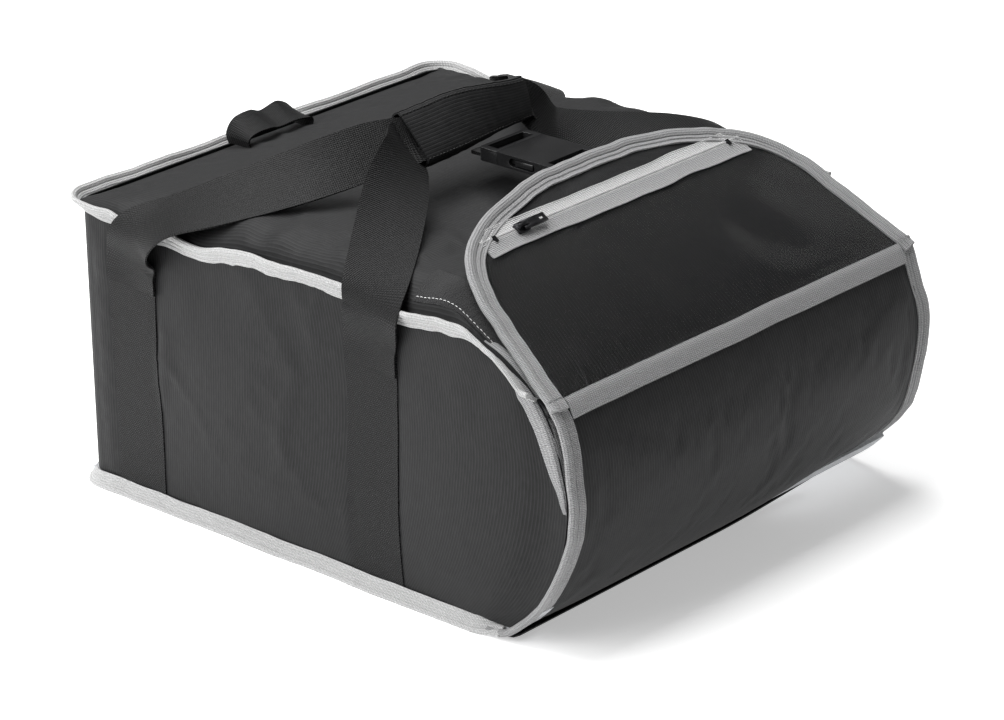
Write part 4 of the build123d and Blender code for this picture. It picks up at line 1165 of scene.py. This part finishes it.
# ---- padded grip
def grip_grid(section, rows=70, count=60):
    """A section in the grip's own (y, z), carried along its length: it leans more and closes up
    towards the right end, as a wrap does round slack webbing."""
    line = spline(section, count)
    along = np.linspace(0, 1, rows)
    tilt = np.radians(46 + 26 * smooth(along, 0.15, 1.0))
    width = 1.0 - 0.30 * smooth(along, 0.3, 1.0)
    low_edge = np.column_stack((np.linspace(-GRIP_HALF, GRIP_HALF, rows) + GRIP.x,
                                GRIP.y - 0.0150 + 0.0130 * smooth(along, 0.1, 1.0),
                                np.full(rows, GRIP.z - 0.0165)))
    turned_y = np.column_stack((np.zeros(rows), np.cos(tilt), np.sin(tilt)))
    turned_z = np.column_stack((np.zeros(rows), -np.sin(tilt), np.cos(tilt)))
    across = (line[None, :, 0] + 0.022) * width[:, None]
    depth = line[None, :, 1] + 0.0007 * np.sin(along * 9)[:, None] * (line[None, :, 1] > 0)
    grid = (low_edge[:, None] + across[..., None] * turned_y[:, None]
            + depth[..., None] * turned_z[:, None])
    wrinkle = rough(grid * (2.2, 1, 1), 0.016, 31) * 0.0005
    return grid + normals_of(grid) * wrinkle[..., None]


back_section = ((-0.008, 0.0026), (-0.0175, 0.0028), (-0.0212, 0.0012), (-0.0218, -0.0018),
                (-0.0195, -0.0050), (-0.012, -0.0062), (0.0, -0.0066), (0.012, -0.0062),
                (0.0195, -0.0050), (0.0222, -0.0018), (0.0224, 0.0014), (0.0216, 0.0036))
wrap_back = grip_grid(back_section)
own(cloth("grip_wrap_shell", wrap_back[:, ::-1], weave, 0.0015), "grip", "black_weave",
    "grip_wrap_back")
cover_section = ((0.0222, 0.0042), (0.0214, 0.0054), (0.017, 0.0062), (0.008, 0.0066),
                 (-0.004, 0.0066), (-0.014, 0.0062), (-0.0205, 0.0052), (-0.0228, 0.0036))
wrap_cover = grip_grid(cover_section)
own(cloth("grip_wrap_flap", wrap_cover, weave, 0.0016), "grip_cover", "black_weave",
    "grip_wrap_cover")
for name, reach, low, high, material, body, slot, node in (
        ("grip_core_webbing", 0.0175, -0.0030, -0.0002, webbing_black, "grip", "black_webbing",
         "grip_webbing"),
        ("grip_loop_tape_piece", 0.0155, 0.0016, 0.0028, pile, "grip", "hook_loop_tape",
         "grip_loop_tape"),
        ("grip_hook_tape_piece", 0.0155, 0.0032, 0.0044, pile, "grip_cover", "hook_loop_tape",
         "grip_hook_tape")):
    upper, lower = (grip_grid([(part * reach, depth) for part in (-1, -0.5, 0, 0.5, 1)], count=20)[3:-3]
                    for depth in (high, low))
    own(slab(name, upper, lower, material), body, slot, node)
for column, label in ((5, "upper"), (-5, "lower")):
    row = wrap_cover[:, column] + normals_of(wrap_cover)[:, column] * 0.0001
    own(stitches(f"grip_stitching_{label}", row, normals_of(wrap_cover)[:, column], thread_black),
        "grip_cover", "black_webbing")

# ---- grab loop at the back
loop_low, loop_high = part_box("back_loop")
loop_y = (loop_low.y + loop_high.y) / 2
foot = loop_low.z - 0.006
loop_left, loop_right = -0.0435, 0.0275
loop_route = ((loop_left + 0.002, loop_y, foot), (loop_left, loop_y, foot + 0.008),
              (loop_left + 0.007, loop_y - 0.001, foot + 0.0150),
              (loop_left + 0.022, loop_y - 0.002, foot + 0.0165),
              (loop_left + 0.036, loop_y, foot + 0.0130),
              (loop_right - 0.019, loop_y - 0.001, foot + 0.0155),
              (loop_right - 0.006, loop_y, foot + 0.0120),
              (loop_right, loop_y, foot + 0.007), (loop_right - 0.002, loop_y, foot))
loop_turns = ((0, 1, 0), (0, 1, 0.1), (0, 1, 0.35), (0, 1, 0.45), (0, 1, 0.35), (0, 1, 0.5),
              (0, 1, 0.3), (0, 1, 0.1), (0, 1, 0))
grab = ribbon("grab_loop_webbing", loop_route, loop_turns, [0.025] * 9, webbing_black, rows=110,
              cup=0.0006)
own(grab, "box", "black_webbing", "back_loop")

# ---- buckle
def rounded(node, name, radius, material, body, slot, segments=3):
    """The CAD piece with its moulded edges rounded."""
    mesh = frame["nodes"][node].data.copy()
    work = bmesh.new()
    work.from_mesh(mesh)
    bmesh.ops.remove_doubles(work, verts=work.verts, dist=1e-6)
    bmesh.ops.dissolve_limit(work, angle_limit=math.radians(1), verts=work.verts, edges=work.edges)
    work.to_mesh(mesh)
    work.free()
    mesh.materials.clear()
    mesh.materials.append(material)
    piece = link(name, mesh)
    bevel = piece.modifiers.new("edges", "BEVEL")
    bevel.width = radius
    bevel.segments = segments
    bevel.limit_method = "ANGLE"
    bevel.angle_limit = math.radians(35)
    shape = bpy.data.meshes.new_from_object(evaluated(piece))
    piece.modifiers.clear()
    piece.data = shape
    smooth_shade(shape, 50)
    own(piece, body, slot, node)


rounded("buckle_frame", "buckle_frame_moulding", 0.0014, acetal, "box", "buckle_plastic", 4)
rounded("buckle_socket", "buckle_socket_moulding", 0.0016, acetal, "flap_upper", "buckle_plastic", 4)
for side_name in ("left", "right"):
    rounded(f"buckle_prong_{side_name}", f"buckle_prong_moulding_{side_name}", 0.0010, acetal,
            f"prong_{side_name}", "buckle_plastic")
rounded("zip_slider", "zip_slider_casting", 0.0003, black_metal, "slider", "black_metal", 2)
rounded("zip_pull", "zip_pull_casting", 0.0003, black_metal, "pull", "black_metal", 2)

tab_low, tab_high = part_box("buckle_tab")
tab_x = (tab_low.x + tab_high.x) / 2
ring = 0.0031
bar_y, bar_z = tab_low.y + 0.0039, tab_high.z - 0.0039
tab_line = [(tab_high.y, bar_z - ring), (bar_y + 0.008, bar_z - ring), (bar_y, bar_z - ring)]
tab_line += [(bar_y + ring * math.cos(turn), bar_z + ring * math.sin(turn))
             for turn in np.radians((-125, -160, -200, -240, -280, -320, -350))]
tab_line += [(bar_y + 0.0052, bar_z - 0.0008), (bar_y + 0.010, bar_z - ring + 0.0017),
             (tab_high.y, bar_z - ring + 0.0017)]
tab_centres = [(tab_x, y, z) for y, z in tab_line]
tab_piece = ribbon("buckle_tab_webbing", tab_centres, [(1, 0, 0)] * len(tab_centres),
                   [tab_high.x - tab_low.x] * len(tab_centres), webbing_black, rows=80,
                   thickness=0.0014)
own(tab_piece, "box", "black_webbing", "buckle_tab")

web_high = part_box("socket_webbing")[1]
sewn = [lap_point(tab_x, run, 0.0066)[1:] for run in (0.118, 0.140, 0.160, 0.1755)]
loop_y0, loop_y1 = web_high.y - 0.0110, web_high.y - 0.0008
loop_z0, loop_z1 = 0.2767, 0.2848
web_line = [tuple(point) for point in sewn] + [
    (loop_y0 - 0.0008, 0.2815), (loop_y0, loop_z1 - 0.001), (loop_y0 + 0.005, loop_z1),
    (loop_y1, loop_z1 - 0.0015), (loop_y1, loop_z0 + 0.0015), (loop_y0 + 0.005, loop_z0),
    (loop_y0, loop_z0 + 0.001), (loop_y0 - 0.0002, 0.2790)]
web_centres = [(tab_x, y, z) for y, z in web_line]
web_piece = ribbon("socket_loop_webbing", web_centres, [(1, 0, 0)] * len(web_centres),
                   [0.037] * len(web_centres), webbing_black, rows=90, thickness=0.0013)
own(web_piece, "flap_upper", "black_webbing", "socket_webbing")

# ---- finishes of the CAD pieces that stay
cad_finish = {
    "bottom_foam": foam,
    "bottom_liner": foil, "wall_liner": foil, "zip_stops": black_metal,
}
for node, material in cad_finish.items():
    frame["nodes"][node].data.materials.clear()
    frame["nodes"][node].data.materials.append(material)

# ---- floor, light and camera
floor_mesh = bpy.data.meshes.new("floor")
floor_mesh.from_pydata([(-6, -6, 0), (6, -6, 0), (6, 6, 0), (-6, 6, 0)], [], [(0, 1, 2, 3)])
floor = link("floor", floor_mesh)
floor.location.z = -0.0005
pale = Surface("pale_floor", (0.93, 0.93, 0.93), 0.8, Emission_Color=(1, 1, 1, 1),
               Emission_Strength=0.42)
floor_mesh.materials.append(pale.finish())

world = bpy.data.worlds.new("studio")
bpy.context.scene.world = world
world.use_nodes = True
world.node_tree.nodes["Background"].inputs["Color"].default_value = (1, 1, 1, 1)
world.node_tree.nodes["Background"].inputs["Strength"].default_value = 0.09


def softbox(name, place, aim, size, power):
    """An area light at a place, facing a point."""
    light = bpy.data.lights.new(name, "AREA")
    light.shape = "RECTANGLE"
    light.size, light.size_y = size
    light.energy = power
    lamp = link(name, light)
    lamp.location = place
    lamp.rotation_euler = (Vector(aim) - Vector(place)).to_track_quat("-Z", "Y").to_euler()


middle = (0.0, 0.0, 0.12)
softbox("key", (-2.6, 0.8, 1.9), middle, (2.4, 2.4), 84)
softbox("overhead", (0.0, 0.9, 2.8), middle, (3.2, 2.4), 128)
softbox("window", (2.45, -0.35, 1.93), (0.05, -0.17, 0.23), (0.9, 0.5), 1.2)

bpy.context.scene.view_settings.view_transform = "Standard"
azimuth, elevation, roll = math.radians(-48.105), math.radians(22.775), math.radians(-0.761)
backward = Vector((math.sin(azimuth) * math.cos(elevation), -math.cos(azimuth) * math.cos(elevation),
                   math.sin(elevation)))
rightward = Vector((math.cos(azimuth), math.sin(azimuth), 0))
upward = backward.cross(rightward)
camera_x = rightward * math.cos(roll) + upward * math.sin(roll)
camera_y = upward * math.cos(roll) - rightward * math.sin(roll)
camera_data = bpy.data.cameras.new("camera")
camera_data.lens = 143.4
camera_data.sensor_width = 36
camera_data.clip_start = 0.05
camera = link("camera", camera_data)
camera.matrix_world = Matrix.Translation((-2.1214, -1.9033, 1.2975)) @ Matrix(
    (camera_x, camera_y, backward)).transposed().to_4x4()
bpy.context.scene.camera = camera
